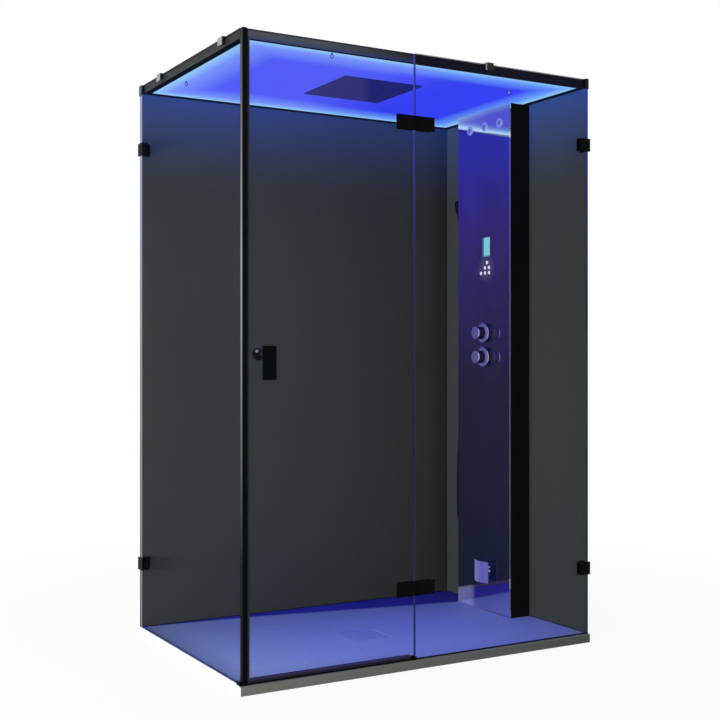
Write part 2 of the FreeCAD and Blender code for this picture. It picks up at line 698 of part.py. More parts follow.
def sill_blocks():
    """The shoe under the corner post and the block under the split of the front glass."""
    outer = block(
        (LEFT_OUT - FOOT_WALL, POST_RIGHT),
        (FRONT_OUT - FOOT_WALL, FRONT_OUT + FOOT_LENGTH),
        (TRAY_HEIGHT, POST_FOOT_TOP),
    )
    outer = softened(outer, FOOT_WALL / 2, ALONG_Z)
    slot = block((LEFT_OUT, LEFT_IN), (FRONT_OUT, FRONT_OUT + FOOT_LENGTH + 1), (PANEL_BOTTOM, POST_FOOT_TOP))
    room = block(
        (LEFT_IN + FOOT_WALL, POST_RIGHT),
        (FRONT_OUT + POST_DEPTH, FRONT_OUT + FOOT_LENGTH + 1),
        (TRAY_HEIGHT, POST_FOOT_TOP),
    )
    shoe = outer.cut(slot).cut(room)

    front = FRONT_OUT - BLOCK_PROUD
    middle = (BLOCK_LEFT + BLOCK_RIGHT) / 2
    drum = rod(BLOCK_WIDTH / 2, (middle, front, TRAY_HEIGHT), (middle, front + BLOCK_DEPTH, TRAY_HEIGHT))
    above_tray = block(
        (BLOCK_LEFT, BLOCK_RIGHT),
        (front, front + BLOCK_DEPTH),
        (TRAY_HEIGHT, POST_FOOT_TOP),
    )
    split_block = drum.common(above_tray)
    pane_slot = block((FIXED_LEFT, BLOCK_RIGHT + 1), (FRONT_OUT, FRONT_IN), (PANEL_BOTTOM, POST_FOOT_TOP))
    return [shoe, split_block.cut(pane_slot)]


def threshold_strip():
    """A low ramped strip on the tray under the door."""
    front = FRONT_OUT - THRESHOLD_PROUD
    top = TRAY_HEIGHT + THRESHOLD_HEIGHT
    profile = [
        (front, TRAY_HEIGHT),
        (front + THRESHOLD_WIDTH, TRAY_HEIGHT),
        (front + THRESHOLD_WIDTH * 0.7, top),
        (front + THRESHOLD_PROUD, top),
    ]
    start = POST_RIGHT
    points = [FreeCAD.Vector(start, y, z) for y, z in profile]
    face = Part.Face(Part.makePolygon(points + points[:1]))
    return face.extrude(ALONG_X * (BLOCK_LEFT - start))


# ---------------------------------------------------------------- roof
def hollow_rail(x_span, y_span, hollow_along):
    """A rectangular tube lying along X or Y, open at its ends."""
    z_span = (RAIL_BOTTOM, RAIL_TOP)
    inner_z = (RAIL_BOTTOM + RAIL_WALL, RAIL_TOP - RAIL_WALL)
    if hollow_along == "x":
        inner = block(x_span, (y_span[0] + RAIL_WALL, y_span[1] - RAIL_WALL), inner_z)
    else:
        inner = block((x_span[0] + RAIL_WALL, x_span[1] - RAIL_WALL), y_span, inner_z)
    return block(x_span, y_span, z_span).cut(inner)


def long_roof_rails():
    """Front and back rail, each with a ledge that carries the ceiling panel."""
    ledge_z = (RAIL_BOTTOM, DIFFUSER_BOTTOM)
    x_span = (LEFT_IN, RIGHT_IN)
    ledge_x = (WEB_LEFT, WEB_RIGHT)
    front = joined(
        hollow_rail(x_span, (RAIL_FRONT, WEB_FRONT), "x"),
        block(ledge_x, (WEB_FRONT, WEB_FRONT + RAIL_LEDGE), ledge_z),
    )
    back = joined(
        hollow_rail(x_span, (WEB_BACK, BACK_IN), "x"),
        block(ledge_x, (WEB_BACK - RAIL_LEDGE, WEB_BACK), ledge_z),
    )
    return [front, back]


def short_roof_rails():
    """Left and right rail between the long ones."""
    ledge_z = (RAIL_BOTTOM, DIFFUSER_BOTTOM)
    y_span = (WEB_FRONT, WEB_BACK)
    ledge_y = (WEB_FRONT + RAIL_LEDGE, WEB_BACK - RAIL_LEDGE)
    left = joined(
        hollow_rail((LEFT_IN, WEB_LEFT), y_span, "y"),
        block((WEB_LEFT, WEB_LEFT + RAIL_LEDGE), ledge_y, ledge_z),
    )
    right = joined(
        hollow_rail((WEB_RIGHT, RIGHT_IN), y_span, "y"),
        block((WEB_RIGHT - RAIL_LEDGE, WEB_RIGHT), ledge_y, ledge_z),
    )
    return [left, right]


def roof_cover_panel():
    return block((LEFT_IN, RIGHT_IN), (RAIL_FRONT, BACK_IN), (RAIL_TOP, CABIN_HEIGHT))


def ceiling_diffuser():
    """The light panel on the rail ledges, with room for the rain head, the riser and the fixings."""
    sheet = block(
        (WEB_LEFT + DIFFUSER_GAP, WEB_RIGHT - DIFFUSER_GAP),
        (WEB_FRONT + DIFFUSER_GAP, WEB_BACK - DIFFUSER_GAP),
        (DIFFUSER_BOTTOM, DIFFUSER_TOP),
    )
    half = RAIN_HEAD_SIDE / 2 + RAIN_PLATE_GAP
    span = (DIFFUSER_BOTTOM - 1, DIFFUSER_TOP + 1)
    sheet = sheet.cut(rain_square(half, span))
    riser_room = PIPE_RADIUS + PIPE_BEND_CLEARANCE
    riser = rod(riser_room, (RISER_X, RAIN_RISER_Y, span[0]), (RISER_X, RAIN_RISER_Y, span[1]))
    sheet = sheet.cut(riser)
    for x, y in FIXING_PLACES:
        hole = rod(FIXING_STUD_RADIUS + FIXING_STUD_CLEARANCE, (x, y, span[0]), (x, y, span[1]))
        sheet = sheet.cut(hole)
    return sheet


def led_strips():
    """Four light strips on the inner faces of the rails."""
    top = RAIL_TOP - LED_DROP
    z_span = (top - LED_HEIGHT, top)
    x_span = (WEB_LEFT + LED_END_GAP, WEB_RIGHT - LED_END_GAP)
    y_span = (WEB_FRONT + LED_END_GAP, WEB_BACK - LED_END_GAP)
    return [
        block(x_span, (WEB_FRONT, WEB_FRONT + LED_THICKNESS), z_span),
        block(x_span, (WEB_BACK - LED_THICKNESS, WEB_BACK), z_span),
        block((WEB_LEFT, WEB_LEFT + LED_THICKNESS), y_span, z_span),
        block((WEB_RIGHT - LED_THICKNESS, WEB_RIGHT), y_span, z_span),
    ]


def ceiling_fixings():
    """Drop shaped caps whose studs hold the middle of the ceiling panel up to the roof cover."""
    caps = []
    for x, y in FIXING_PLACES:
        centre_z = DIFFUSER_BOTTOM - FIXING_DROP
        drop = ball(FIXING_RADIUS, (x, y, centre_z))
        neck = Part.makeCone(
            FIXING_RADIUS * 0.94,
            FIXING_STUD_RADIUS + 2 * FIXING_STUD_CLEARANCE,
            FIXING_DROP - FIXING_RADIUS / 3,
            FreeCAD.Vector(x, y, centre_z + FIXING_RADIUS / 3),
        )
        stud = rod(FIXING_STUD_RADIUS, (x, y, centre_z), (x, y, RAIL_TOP))
        caps.append(joined(drop, neck, stud))
    return caps


def nozzle_places():
    """Centres of the rain head's nozzles."""
    first = -NOZZLE_PITCH * (NOZZLE_COUNT - 1) / 2
    steps = [first + NOZZLE_PITCH * index for index in range(NOZZLE_COUNT)]
    return [(RAIN_HEAD_X + dx, RAIN_HEAD_Y + dy) for dx in steps for dy in steps]


def rain_square(half, z_span):
    return block((RAIN_HEAD_X - half, RAIN_HEAD_X + half), (RAIN_HEAD_Y - half, RAIN_HEAD_Y + half), z_span)


def rain_head_plate():
    span = (RAIN_PLATE_BOTTOM, DIFFUSER_BOTTOM)
    plate = rain_square(RAIN_HEAD_SIDE / 2, span)
    holes = []
    for x, y in nozzle_places():
        holes.append(rod(NOZZLE_RADIUS + NOZZLE_CLEARANCE, (x, y, span[0] - 1), (x, y, span[1] + 1)))
    return plate.cut(Part.makeCompound(holes))


def rain_head_nozzle_mat():
    """A soft sheet whose nozzles poke through the plate."""
    half = RAIN_HEAD_SIDE / 2 - RAIN_CHAMBER_INSET - RAIN_CHAMBER_WALL - RAIN_MAT_GAP
    mat = rain_square(half, (DIFFUSER_BOTTOM, DIFFUSER_BOTTOM + RAIN_MAT_THICKNESS))
    tip = RAIN_PLATE_BOTTOM - NOZZLE_PROUD
    nozzles = [rod(NOZZLE_RADIUS, (x, y, tip), (x, y, DIFFUSER_BOTTOM + 1)) for x, y in nozzle_places()]
    return mat.fuse(Part.makeCompound(nozzles))


def rain_head_chamber():
    """The water box above the plate, hung from the roof cover by four studs."""
    outer_half = RAIN_HEAD_SIDE / 2 - RAIN_CHAMBER_INSET
    inner_half = outer_half - RAIN_CHAMBER_WALL
    shell = rain_square(outer_half, (DIFFUSER_BOTTOM, RAIN_CHAMBER_TOP))
    shell = shell.cut(rain_square(inner_half, (DIFFUSER_BOTTOM, RAIN_CHAMBER_TOP - RAIN_CHAMBER_WALL)))
    reach = outer_half - STUD_INSET
    for dx in (-reach, reach):
        for dy in (-reach, reach):
            x = RAIN_HEAD_X + dx
            y = RAIN_HEAD_Y + dy
            shell = shell.fuse(rod(STUD_RADIUS, (x, y, RAIN_CHAMBER_TOP - 1), (x, y, RAIL_TOP)))
    return shell.removeSplitter()


def front_clip(x_span, drop, thickness, top):
    """An angle over the front glass: a leg down its outside and a leg in over the roof."""
    front = FRONT_OUT - thickness
    z_top = CABIN_HEIGHT + top
    leg = block(x_span, (front, FRONT_OUT), (CABIN_HEIGHT - drop, z_top))
    lid = block(x_span, (front, FRONT_OUT + CLIP_REACH_IN), (CABIN_HEIGHT, z_top))
    return softened(joined(leg, lid), CLIP_EDGE_RADIUS, ALONG_X)


def side_clip(y_span, drop, thickness, top):
    """An angle over the left glass that ends against the edge of the roof."""
    side = LEFT_OUT - thickness
    z_top = LEFT_GLASS_TOP + top
    leg = block((side, LEFT_OUT), y_span, (LEFT_GLASS_TOP - drop, z_top))
    lid = block((side, LEFT_IN), y_span, (LEFT_GLASS_TOP, z_top))
    return softened(joined(leg, lid), CLIP_EDGE_RADIUS, ALONG_Y)


def roof_clips():
    """Small clips along the top edges, and a wider clamp at each end of the glass."""
    half = FRONT_CLIP_WIDTH / 2
    clips = [
        front_clip(
            (FRONT_CLIP_X - half, FRONT_CLIP_X + half),
            CLIP_REACH_DOWN,
            FRONT_CLIP_THICKNESS,
            CLIP_TOP,
        )
    ]
    half = SIDE_CLIP_WIDTH / 2
    for y in SIDE_CLIP_PLACES:
        clips.append(side_clip((y - half, y + half), CLIP_REACH_DOWN, SIDE_CLIP_THICKNESS, CLIP_TOP))
    back = BACK_OUT - BACK_CORNER_CLAMP_INSET
    clips.append(
        side_clip(
            (back - BACK_CORNER_CLAMP_WIDTH, back),
            CORNER_CLAMP_DROP,
            CORNER_CLAMP_THICKNESS,
            CORNER_CLAMP_TOP,
        )
    )
    right = RIGHT_OUT - FRONT_CORNER_CLAMP_INSET
    clips.append(
        front_clip(
            (right - FRONT_CORNER_CLAMP_WIDTH, right),
            CORNER_CLAMP_DROP,
            CORNER_CLAMP_THICKNESS,
            CORNER_CLAMP_TOP,
        )
    )
    return clips


# ---------------------------------------------------------------- hinges
def screw(x, y_head, y_tip, z):
    """A screw along -Y with its head inside the cabin."""
    shank = rod(SCREW_RADIUS, (x, y_tip, z), (x, y_head, z))
    head = rod(SCREW_HEAD_RADIUS, (x, y_head, z), (x, y_head + SCREW_HEAD, z))
    return joined(shank, head)


def hinge_plates(direction, z):
    """Outer and inner plate of one hinge leaf. direction is -1 for the door side, +1 for the fixed side."""
    near = HINGE_X + direction * HINGE_SETBACK
    far = HINGE_X + direction * (HINGE_SETBACK + HINGE_LEAF_WIDTH)
    x_span = (min(near, far), max(near, far))
    z_span = (z - HINGE_HEIGHT / 2, z + HINGE_HEIGHT / 2)
    outer = block(x_span, (FRONT_OUT - HINGE_OUTER, FRONT_OUT), z_span)
    outer = softened(outer, HINGE_EDGE_RADIUS, ALONG_X)
    inner_far = far - direction * HINGE_INNER_SHORT
    inner_span = (min(near, inner_far), max(near, inner_far))
    inner = block(inner_span, (FRONT_IN, FRONT_IN + HINGE_INNER), z_span)
    inner = softened(inner, HINGE_EDGE_RADIUS, ALONG_X)
    for place in HINGE_SCREW_PLACES:
        x = HINGE_X + direction * place
        hole = rod(SCREW_RADIUS + SCREW_CLEARANCE, (x, FRONT_OUT - SCREW_BITE, z), (x, FRONT_IN + WALL, z))
        outer = outer.cut(hole)
        inner = inner.cut(hole)
    return outer, inner


def knuckle(direction, low, high):
    """One barrel piece round the hinge pin, with the web that joins it to its plate."""
    barrel = rod(KNUCKLE_RADIUS, (HINGE_X, HINGE_Y, low), (HINGE_X, HINGE_Y, high))
    reach = HINGE_X + direction * (HINGE_SETBACK + 1)
    web = block(
        (min(HINGE_X, reach), max(HINGE_X, reach)),
        (HINGE_Y - KNUCKLE_WEB / 2, HINGE_Y + KNUCKLE_WEB / 2),
        (low, high),
    )
    bore_radius = KNUCKLE_PIN_RADIUS + KNUCKLE_PIN_CLEARANCE
    bore = rod(bore_radius, (HINGE_X, HINGE_Y, low - 1), (HINGE_X, HINGE_Y, high + 1))
    return joined(barrel, web).cut(bore)


def hinge_leaves(direction):
    """Both hinges' leaves on one side. The fixed side has the end knuckles, the door side the middle one."""
    pieces = []
    for z in HINGE_HEIGHTS:
        low = z - HINGE_HEIGHT / 2
        high = z + HINGE_HEIGHT / 2
        outer, inner = hinge_plates(direction, z)
        if direction > 0:
            spans = [(low, low + KNUCKLE_END), (high - KNUCKLE_END, high)]
        else:
            spans = [(low + KNUCKLE_END + KNUCKLE_GAP, high - KNUCKLE_END - KNUCKLE_GAP)]
        barrels = [knuckle(direction, start, end) for start, end in spans]
        pieces.append(joined(outer, *barrels))
        pieces.append(inner)
    return pieces


def hinge_pins():
    pins = []
    for z in HINGE_HEIGHTS:
        low = z - HINGE_HEIGHT / 2
        high = z + HINGE_HEIGHT / 2
        pins.append(rod(KNUCKLE_PIN_RADIUS, (HINGE_X, HINGE_Y, low), (HINGE_X, HINGE_Y, high)))
    return pins


def hinge_screws(direction):
    screws = []
    for z in HINGE_HEIGHTS:
        for place in HINGE_SCREW_PLACES:
            x = HINGE_X + direction * place
            screws.append(screw(x, FRONT_IN + HINGE_INNER, FRONT_OUT - SCREW_BITE, z))
    return screws


# ---------------------------------------------------------------- glass to wall clamps
def clamp_parts(z):
    """One clamp in its corner's frame: X runs along the glass to the wall, Y from the outer glass face in."""
    z_span = (z - CLAMP_SIZE / 2, z + CLAMP_SIZE / 2)
    start = CLAMP_PAST_CORNER - CLAMP_SIZE
    hole_x = CLAMP_PAST_CORNER - CLAMP_SCREW_INSET
    outer = block((start, CLAMP_PAST_CORNER), (-CLAMP_OUTER, 0), z_span)
    outer = softened(outer, HINGE_EDGE_RADIUS, ALONG_X)
    inner_back = GLASS + CLAMP_INNER
    glass_leg = block((start, 0), (GLASS, inner_back), z_span)
    wall_leg = block((-CLAMP_INNER, 0), (inner_back, inner_back + CLAMP_WALL_LEG), z_span)
    bracket = joined(glass_leg, wall_leg)
    glass_hole = rod(SCREW_RADIUS + SCREW_CLEARANCE, (hole_x, -SCREW_BITE, z), (hole_x, inner_back + 1, z))
    wall_y = inner_back + CLAMP_WALL_SCREW
    wall_hole = rod(SCREW_RADIUS + SCREW_CLEARANCE, (-CLAMP_INNER - 1, wall_y, z), (SCREW_BITE, wall_y, z))
    outer = outer.cut(glass_hole)
    bracket = bracket.cut(glass_hole).cut(wall_hole)
    glass_screw = joined(
        rod(SCREW_RADIUS, (hole_x, -SCREW_BITE, z), (hole_x, inner_back, z)),
        rod(SCREW_HEAD_RADIUS, (hole_x, inner_back, z), (hole_x, inner_back + SCREW_HEAD, z)),
    )
    wall_screw = joined(
        rod(SCREW_RADIUS, (-CLAMP_INNER, wall_y, z), (SCREW_BITE, wall_y, z)),
        rod(SCREW_HEAD_RADIUS, (-CLAMP_INNER - SCREW_HEAD, wall_y, z), (-CLAMP_INNER, wall_y, z)),
    )
    return [outer, bracket], [glass_screw, wall_screw]


def at_right_corner(shape):
    return shape.translated(FreeCAD.Vector(RIGHT_IN, FRONT_OUT, 0))


def at_back_corner(shape):
    """The same clamp turned over for the left glass and the back wall: X and Y change places."""
    turned = shape.mirror(FreeCAD.Vector(0, 0, 0), FreeCAD.Vector(1, -1, 0))
    return turned.translated(FreeCAD.Vector(LEFT_OUT, BACK_IN, 0))


def wall_screw_hole_right(y, z):
    return rod(SCREW_RADIUS + SCREW_CLEARANCE, (RIGHT_IN - 1, y, z), (RIGHT_IN + SCREW_BITE, y, z))


def wall_screw_hole_back(x, z):
    return rod(SCREW_RADIUS + SCREW_CLEARANCE, (x, BACK_IN - 1, z), (x, BACK_IN + SCREW_BITE, z))


def wall_clamps():
    plates = []
    screws = []
    for z in CLAMP_HEIGHTS:
        metal, fasteners = clamp_parts(z)
        plates += [at_right_corner(piece) for piece in metal]
        plates += [at_back_corner(piece) for piece in metal]
        screws += [at_right_corner(piece) for piece in fasteners]
        screws += [at_back_corner(piece) for piece in fasteners]
    return plates, screws


# ---------------------------------------------------------------- door
HANDLE_X = DOOR_LEFT + HANDLE_X_FROM_EDGE
HANDLE_BOLT_Z = HANDLE_BOTTOM_Z + HANDLE_BOLT_RISE


def door_glass():
    pane = arrissed(block((DOOR_LEFT, DOOR_RIGHT), (FRONT_OUT, FRONT_IN), (DOOR_BOTTOM, DOOR_TOP)))
    for z in HINGE_HEIGHTS:
        for place in HINGE_SCREW_PLACES:
            pane = pane.cut(through_front(HINGE_X - place, z, GLASS_HOLE_RADIUS))
    return pane.cut(through_front(HANDLE_X, HANDLE_BOLT_Z, GLASS_HOLE_RADIUS))


def door_magnet_strip():
    """A channel on the door's leading edge that closes against the corner post."""
    left = DOOR_LEFT - MAGNET_WALL
    z_span = (DOOR_BOTTOM - MAGNET_DROP, RAIL_BOTTOM - POST_TOP_GAP)
    outer = block(
        (left, DOOR_LEFT + MAGNET_LIP),
        (FRONT_OUT - MAGNET_LIP_THICKNESS, FRONT_IN + MAGNET_LIP_THICKNESS),
        z_span,
    )
    pane = block((DOOR_LEFT, DOOR_LEFT + MAGNET_LIP + 1), (FRONT_OUT, FRONT_IN), z_span)
    strip = outer.cut(pane)
    edge_piece = block((left, DOOR_LEFT), (FRONT_OUT, FRONT_IN), (z_span[1], DOOR_TOP))
    return joined(strip, edge_piece)


def door_seals():
    """The sweep under the door and the clear strip on its hinge edge."""
    low = DOOR_BOTTOM - DOOR_SEAL_HEIGHT + DOOR_SEAL_LIP
    high = DOOR_BOTTOM + DOOR_SEAL_LIP
    x_span = (DOOR_LEFT + DOOR_SEAL_START, DOOR_RIGHT - DOOR_SEAL_SHORT)
    lip = MAGNET_LIP_THICKNESS
    sweep = block(x_span, (FRONT_OUT - lip, FRONT_IN + lip), (low, high))
    sweep = sweep.cut(block(x_span, (FRONT_OUT, FRONT_IN), (DOOR_BOTTOM, high)))
    middle = (FRONT_OUT + FRONT_IN) / 2
    edge_strip = block(
        (DOOR_RIGHT, DOOR_RIGHT + SPLIT_SEAL_WIDTH),
        (middle - SPLIT_SEAL_THICKNESS / 2, middle + SPLIT_SEAL_THICKNESS / 2),
        (DOOR_BOTTOM, DOOR_TOP),
    )
    return [sweep, edge_strip]


def handle_plate():
    """The outer pull: a plate on a short post, with a finger gap behind it."""
    plate_back = FRONT_OUT - HANDLE_STANDOFF
    plate = block(
        (HANDLE_X - HANDLE_WIDTH / 2, HANDLE_X + HANDLE_WIDTH / 2),
        (plate_back - HANDLE_THICKNESS, plate_back),
        (HANDLE_BOTTOM_Z, HANDLE_BOTTOM_Z + HANDLE_HEIGHT),
    )
    plate = plate.makeFillet(HANDLE_EDGE_RADIUS, plate.Edges)
    post_start = (HANDLE_X, plate_back - 1, HANDLE_BOLT_Z)
    post = rod(HANDLE_POST_RADIUS, post_start, (HANDLE_X, FRONT_OUT, HANDLE_BOLT_Z))
    bore = bolt_tool(SCREW_CLEARANCE)
    return joined(plate, post).cut(bore)


def bolt_tool(clearance):
    """The through bolt of the handle, or its hole with a clearance."""
    return rod(
        SCREW_RADIUS + clearance,
        (HANDLE_X, FRONT_OUT - SCREW_BITE, HANDLE_BOLT_Z),
        (HANDLE_X, FRONT_IN + KNOB_BASE + SCREW_BITE, HANDLE_BOLT_Z),
    )


def inner_door_knob():
    """The round knob inside the cabin: base, stem and ball turned in one piece."""
    base_top = FRONT_IN + KNOB_BASE
    centre_y = base_top + KNOB_STEM
    base = rod(KNOB_BASE_RADIUS, (HANDLE_X, FRONT_IN, HANDLE_BOLT_Z), (HANDLE_X, base_top, HANDLE_BOLT_Z))
    stem = rod(KNOB_STEM_RADIUS, (HANDLE_X, FRONT_IN, HANDLE_BOLT_Z), (HANDLE_X, centre_y, HANDLE_BOLT_Z))
    head = ball(KNOB_RADIUS, (HANDLE_X, centre_y, HANDLE_BOLT_Z))
    return joined(base, stem, head).cut(bolt_tool(SCREW_CLEARANCE))


# ---------------------------------------------------------------- column
def button_places():
    """Name, Y and Z of each push button: rows of one, two and three."""
    right = BUTTON_RIGHT_Y
    low = BUTTON_LOW_Z
    return [
        ("button_power", right + BUTTON_PITCH_Y / 2, low + 2 * BUTTON_PITCH_Z),
        ("button_steam", right + BUTTON_PITCH_Y, low + BUTTON_PITCH_Z),
        ("button_light", right, low + BUTTON_PITCH_Z),
        ("button_minus", right + 2 * BUTTON_PITCH_Y, low),
        ("button_timer", right + BUTTON_PITCH_Y, low),
        ("button_plus", right, low),
    ]


def through_column_front(radius, y, z):
    return rod(radius, (COLUMN_FRONT - 1, y, z), (SHEET_BACK + 1, y, z))


def front_openings():
    """Everything that passes through the column's front, as one cutting tool."""
    half_width = SCREEN_WIDTH / 2 + SCREEN_GAP
    half_height = SCREEN_HEIGHT / 2 + SCREEN_GAP
    tools = [
        block(
            (COLUMN_FRONT - 1, SHEET_BACK + 1),
            (CONTROL_Y - half_width, CONTROL_Y + half_width),
            (SCREEN_Z - half_height, SCREEN_Z + half_height),
        )
    ]
    for name, y, z in button_places():
        tools.append(through_column_front(BUTTON_RADIUS + BUTTON_CLEARANCE, y, z))
    for y in JET_PLACES:
        tools.append(through_column_front(JET_BODY_RADIUS + JET_HOLE_CLEARANCE, y, JET_Z))
    for z in (VALVE_UPPER_Z, VALVE_LOWER_Z):
        tools.append(through_column_front(NOSE_RADIUS + NOSE_CLEARANCE, CONTROL_Y, z))
    tools.append(through_column_front(STEAM_NOZZLE_PASS + JET_HOLE_CLEARANCE, CONTROL_Y, STEAM_OUTLET_Z))
    return Part.makeCompound(tools)


def column_housing():
    """A folded sheet case, open to the wall, with a lip under the mirror."""
    shell = block((SHEET_FRONT, RIGHT_IN), (COLUMN_NEAR, COLUMN_FAR), (TRAY_HEIGHT, COLUMN_TOP))
    inside = block(
        (SHEET_BACK, RIGHT_IN + 1),
        (COLUMN_NEAR + COLUMN_SHEET, COLUMN_FAR - COLUMN_SHEET),
        (TRAY_HEIGHT + COLUMN_SHEET, COLUMN_TOP - COLUMN_SHEET),
    )
    lip_z = (TRAY_HEIGHT, TRAY_HEIGHT + COLUMN_LIP)
    lip = block((COLUMN_FRONT, SHEET_FRONT), (COLUMN_NEAR, COLUMN_FAR), lip_z)
    shell = joined(shell.cut(inside), lip)
    riser = rod(
        PIPE_RADIUS + PIPE_CLEARANCE,
        (RISER_X, RAIN_RISER_Y, COLUMN_TOP - COLUMN_SHEET - 1),
        (RISER_X, RAIN_RISER_Y, COLUMN_TOP + 1),
    )
    feed_z = hose_feed_z()
    feed = rod(
        ELBOW_BODY_RADIUS + PIPE_CLEARANCE,
        (HOSE_FEED_X, COLUMN_FAR - COLUMN_SHEET - 1, feed_z),
        (HOSE_FEED_X, COLUMN_FAR + 1, feed_z),
    )
    return shell.cut(front_openings()).cut(riser).cut(feed)


def column_mirror_panel():
    pane = block(
        (COLUMN_FRONT, SHEET_FRONT),
        (COLUMN_NEAR, COLUMN_FAR),
        (TRAY_HEIGHT + COLUMN_LIP, COLUMN_TOP),
    )
    return arrissed(pane).cut(front_openings())


def display_screen():
    """The display module, set in the column's front and standing on the board."""
    return block(
        (COLUMN_FRONT + SCREEN_RECESS, BOARD_FRONT),
        (CONTROL_Y - SCREEN_WIDTH / 2, CONTROL_Y + SCREEN_WIDTH / 2),
        (SCREEN_Z - SCREEN_HEIGHT / 2, SCREEN_Z + SCREEN_HEIGHT / 2),
    )


def control_board():
    """The board behind display and buttons, on four posts from the column's sheet."""
    y_span = (CONTROL_Y - BOARD_WIDTH / 2, CONTROL_Y + BOARD_WIDTH / 2)
    z_span = (
        BUTTON_LOW_Z - BUTTON_COLLAR_RADIUS - BOARD_MARGIN,
        SCREEN_Z + SCREEN_HEIGHT / 2 + BOARD_MARGIN,
    )
    board = block((BOARD_FRONT, BOARD_FRONT + BOARD_THICKNESS), y_span, z_span)
    for y in (y_span[0] + BOARD_POST_INSET, y_span[1] - BOARD_POST_INSET):
        for z in (z_span[0] + BOARD_POST_INSET, z_span[1] - BOARD_POST_INSET):
            board = board.fuse(rod(BOARD_POST_RADIUS, (SHEET_BACK, y, z), (BOARD_FRONT + 1, y, z)))
    return board.removeSplitter()


def push_button(y, z):
    """A button cap with the collar that keeps it in and the stem that meets the board."""
    collar_start = SHEET_BACK + BUTTON_COLLAR_GAP
    collar_end = collar_start + BUTTON_COLLAR
    cap = rod(BUTTON_RADIUS, (COLUMN_FRONT - BUTTON_PROUD, y, z), (collar_end, y, z))
    cap = cap.makeFillet(BUTTON_ROUND, [cap.Edges[index] for index in front_ring(cap)])
    collar = rod(BUTTON_COLLAR_RADIUS, (collar_start, y, z), (collar_end, y, z))
    tip = BOARD_FRONT - BUTTON_TRAVEL - BUTTON_TRAVEL_SPARE
    stem = rod(BUTTON_STEM_RADIUS, (collar_start, y, z), (tip, y, z))
    return joined(cap, collar, stem)


def front_ring(shape):
    """Indices of the edges that lie in the shape's lowest X plane."""
    low = shape.BoundBox.XMin
    return [index for index, edge in enumerate(shape.Edges) if edge.BoundBox.XMax < low + 1e-6]


def jet_housings():
    """Three jet bodies: a round bezel in front, a socket for the ball and a water bore behind."""
    bodies = []
    for y in JET_PLACES:
        bezel = rod(JET_BEZEL_RADIUS, (COLUMN_FRONT - JET_BEZEL, y, JET_Z), (COLUMN_FRONT, y, JET_Z))
        bezel = bezel.makeFillet(JET_BEZEL_ROUND, [bezel.Edges[index] for index in front_ring(bezel)])
        body = rod(JET_BODY_RADIUS, (COLUMN_FRONT - JET_BEZEL + 1, y, JET_Z), (JET_BODY_BACK, y, JET_Z))
        socket = ball(JET_BALL_RADIUS + JET_CLEARANCE, (JET_CENTRE_X, y, JET_Z))
        bore = rod(JET_PIPE_RADIUS - PIPE_WALL, (JET_CENTRE_X, y, JET_Z), (JET_BODY_BACK + 1, y, JET_Z))
        bodies.append(joined(bezel, body).cut(socket).cut(bore))
    return bodies


def jet_ball(y):
    sphere = ball(JET_BALL_RADIUS, (JET_CENTRE_X, y, JET_Z))
    face_x = COLUMN_FRONT - JET_FACE_PROUD
    front = block(
        (face_x - JET_BALL_RADIUS, face_x),
        (y - JET_BALL_RADIUS, y + JET_BALL_RADIUS),
        (JET_Z - JET_BALL_RADIUS, JET_Z + JET_BALL_RADIUS),
    )
    bore = rod(JET_BORE_RADIUS, (face_x - 1, y, JET_Z), (JET_CENTRE_X + JET_BALL_RADIUS, y, JET_Z))
    return sphere.cut(front).cut(bore)


# ---------------------------------------------------------------- valves
def valve_manifold():
    """A cast block on the wall with a nose for each valve, bored for the two spindles."""
    half = MANIFOLD_WIDTH / 2
    body = block(
        (MANIFOLD_FRONT, MANIFOLD_BACK),
        (CONTROL_Y - half, CONTROL_Y + half),
        (MANIFOLD_LOW, MANIFOLD_HIGH),
    )
    body = softened(body, MANIFOLD_ROUND, ALONG_X)
    pieces = [body]
    bores = []
    for z in (VALVE_UPPER_Z, VALVE_LOWER_Z):
        pieces.append(rod(NOSE_RADIUS, (NOSE_FRONT, CONTROL_Y, z), (MANIFOLD_FRONT + 1, CONTROL_Y, z)))
        bores.append(
            rod(
                SPINDLE_RADIUS + SPINDLE_CLEARANCE,
                (NOSE_FRONT - 1, CONTROL_Y, z),
                (NOSE_FRONT + SPINDLE_BITE + 1, CONTROL_Y, z),
            )
        )
    foot = block(
        (MANIFOLD_BACK, RIGHT_IN),
        (CONTROL_Y - INLET_RADIUS / 2, CONTROL_Y + INLET_RADIUS / 2),
        (MANIFOLD_LOW, MANIFOLD_HIGH),
    )
    return joined(*pieces, foot).cut(Part.makeCompound(bores))


def valve_escutcheons():
    rings = []
    for z in (VALVE_UPPER_Z, VALVE_LOWER_Z):
        ring = rod(ESCUTCHEON_RADIUS, (ESCUTCHEON_FRONT, CONTROL_Y, z), (COLUMN_FRONT, CONTROL_Y, z))
        ring = ring.makeFillet(ESCUTCHEON_ROUND, [ring.Edges[index] for index in front_ring(ring)])
        socket = rod(
            NOSE_RADIUS + ESCUTCHEON_CLEARANCE,
            (NOSE_FRONT, CONTROL_Y, z),
            (COLUMN_FRONT + 1, CONTROL_Y, z),
        )
        passage = rod(
            SPINDLE_RADIUS + SPINDLE_PASS,
            (ESCUTCHEON_FRONT - 1, CONTROL_Y, z),
            (NOSE_FRONT + 1, CONTROL_Y, z),
        )
        rings.append(ring.cut(socket).cut(passage))
    return rings


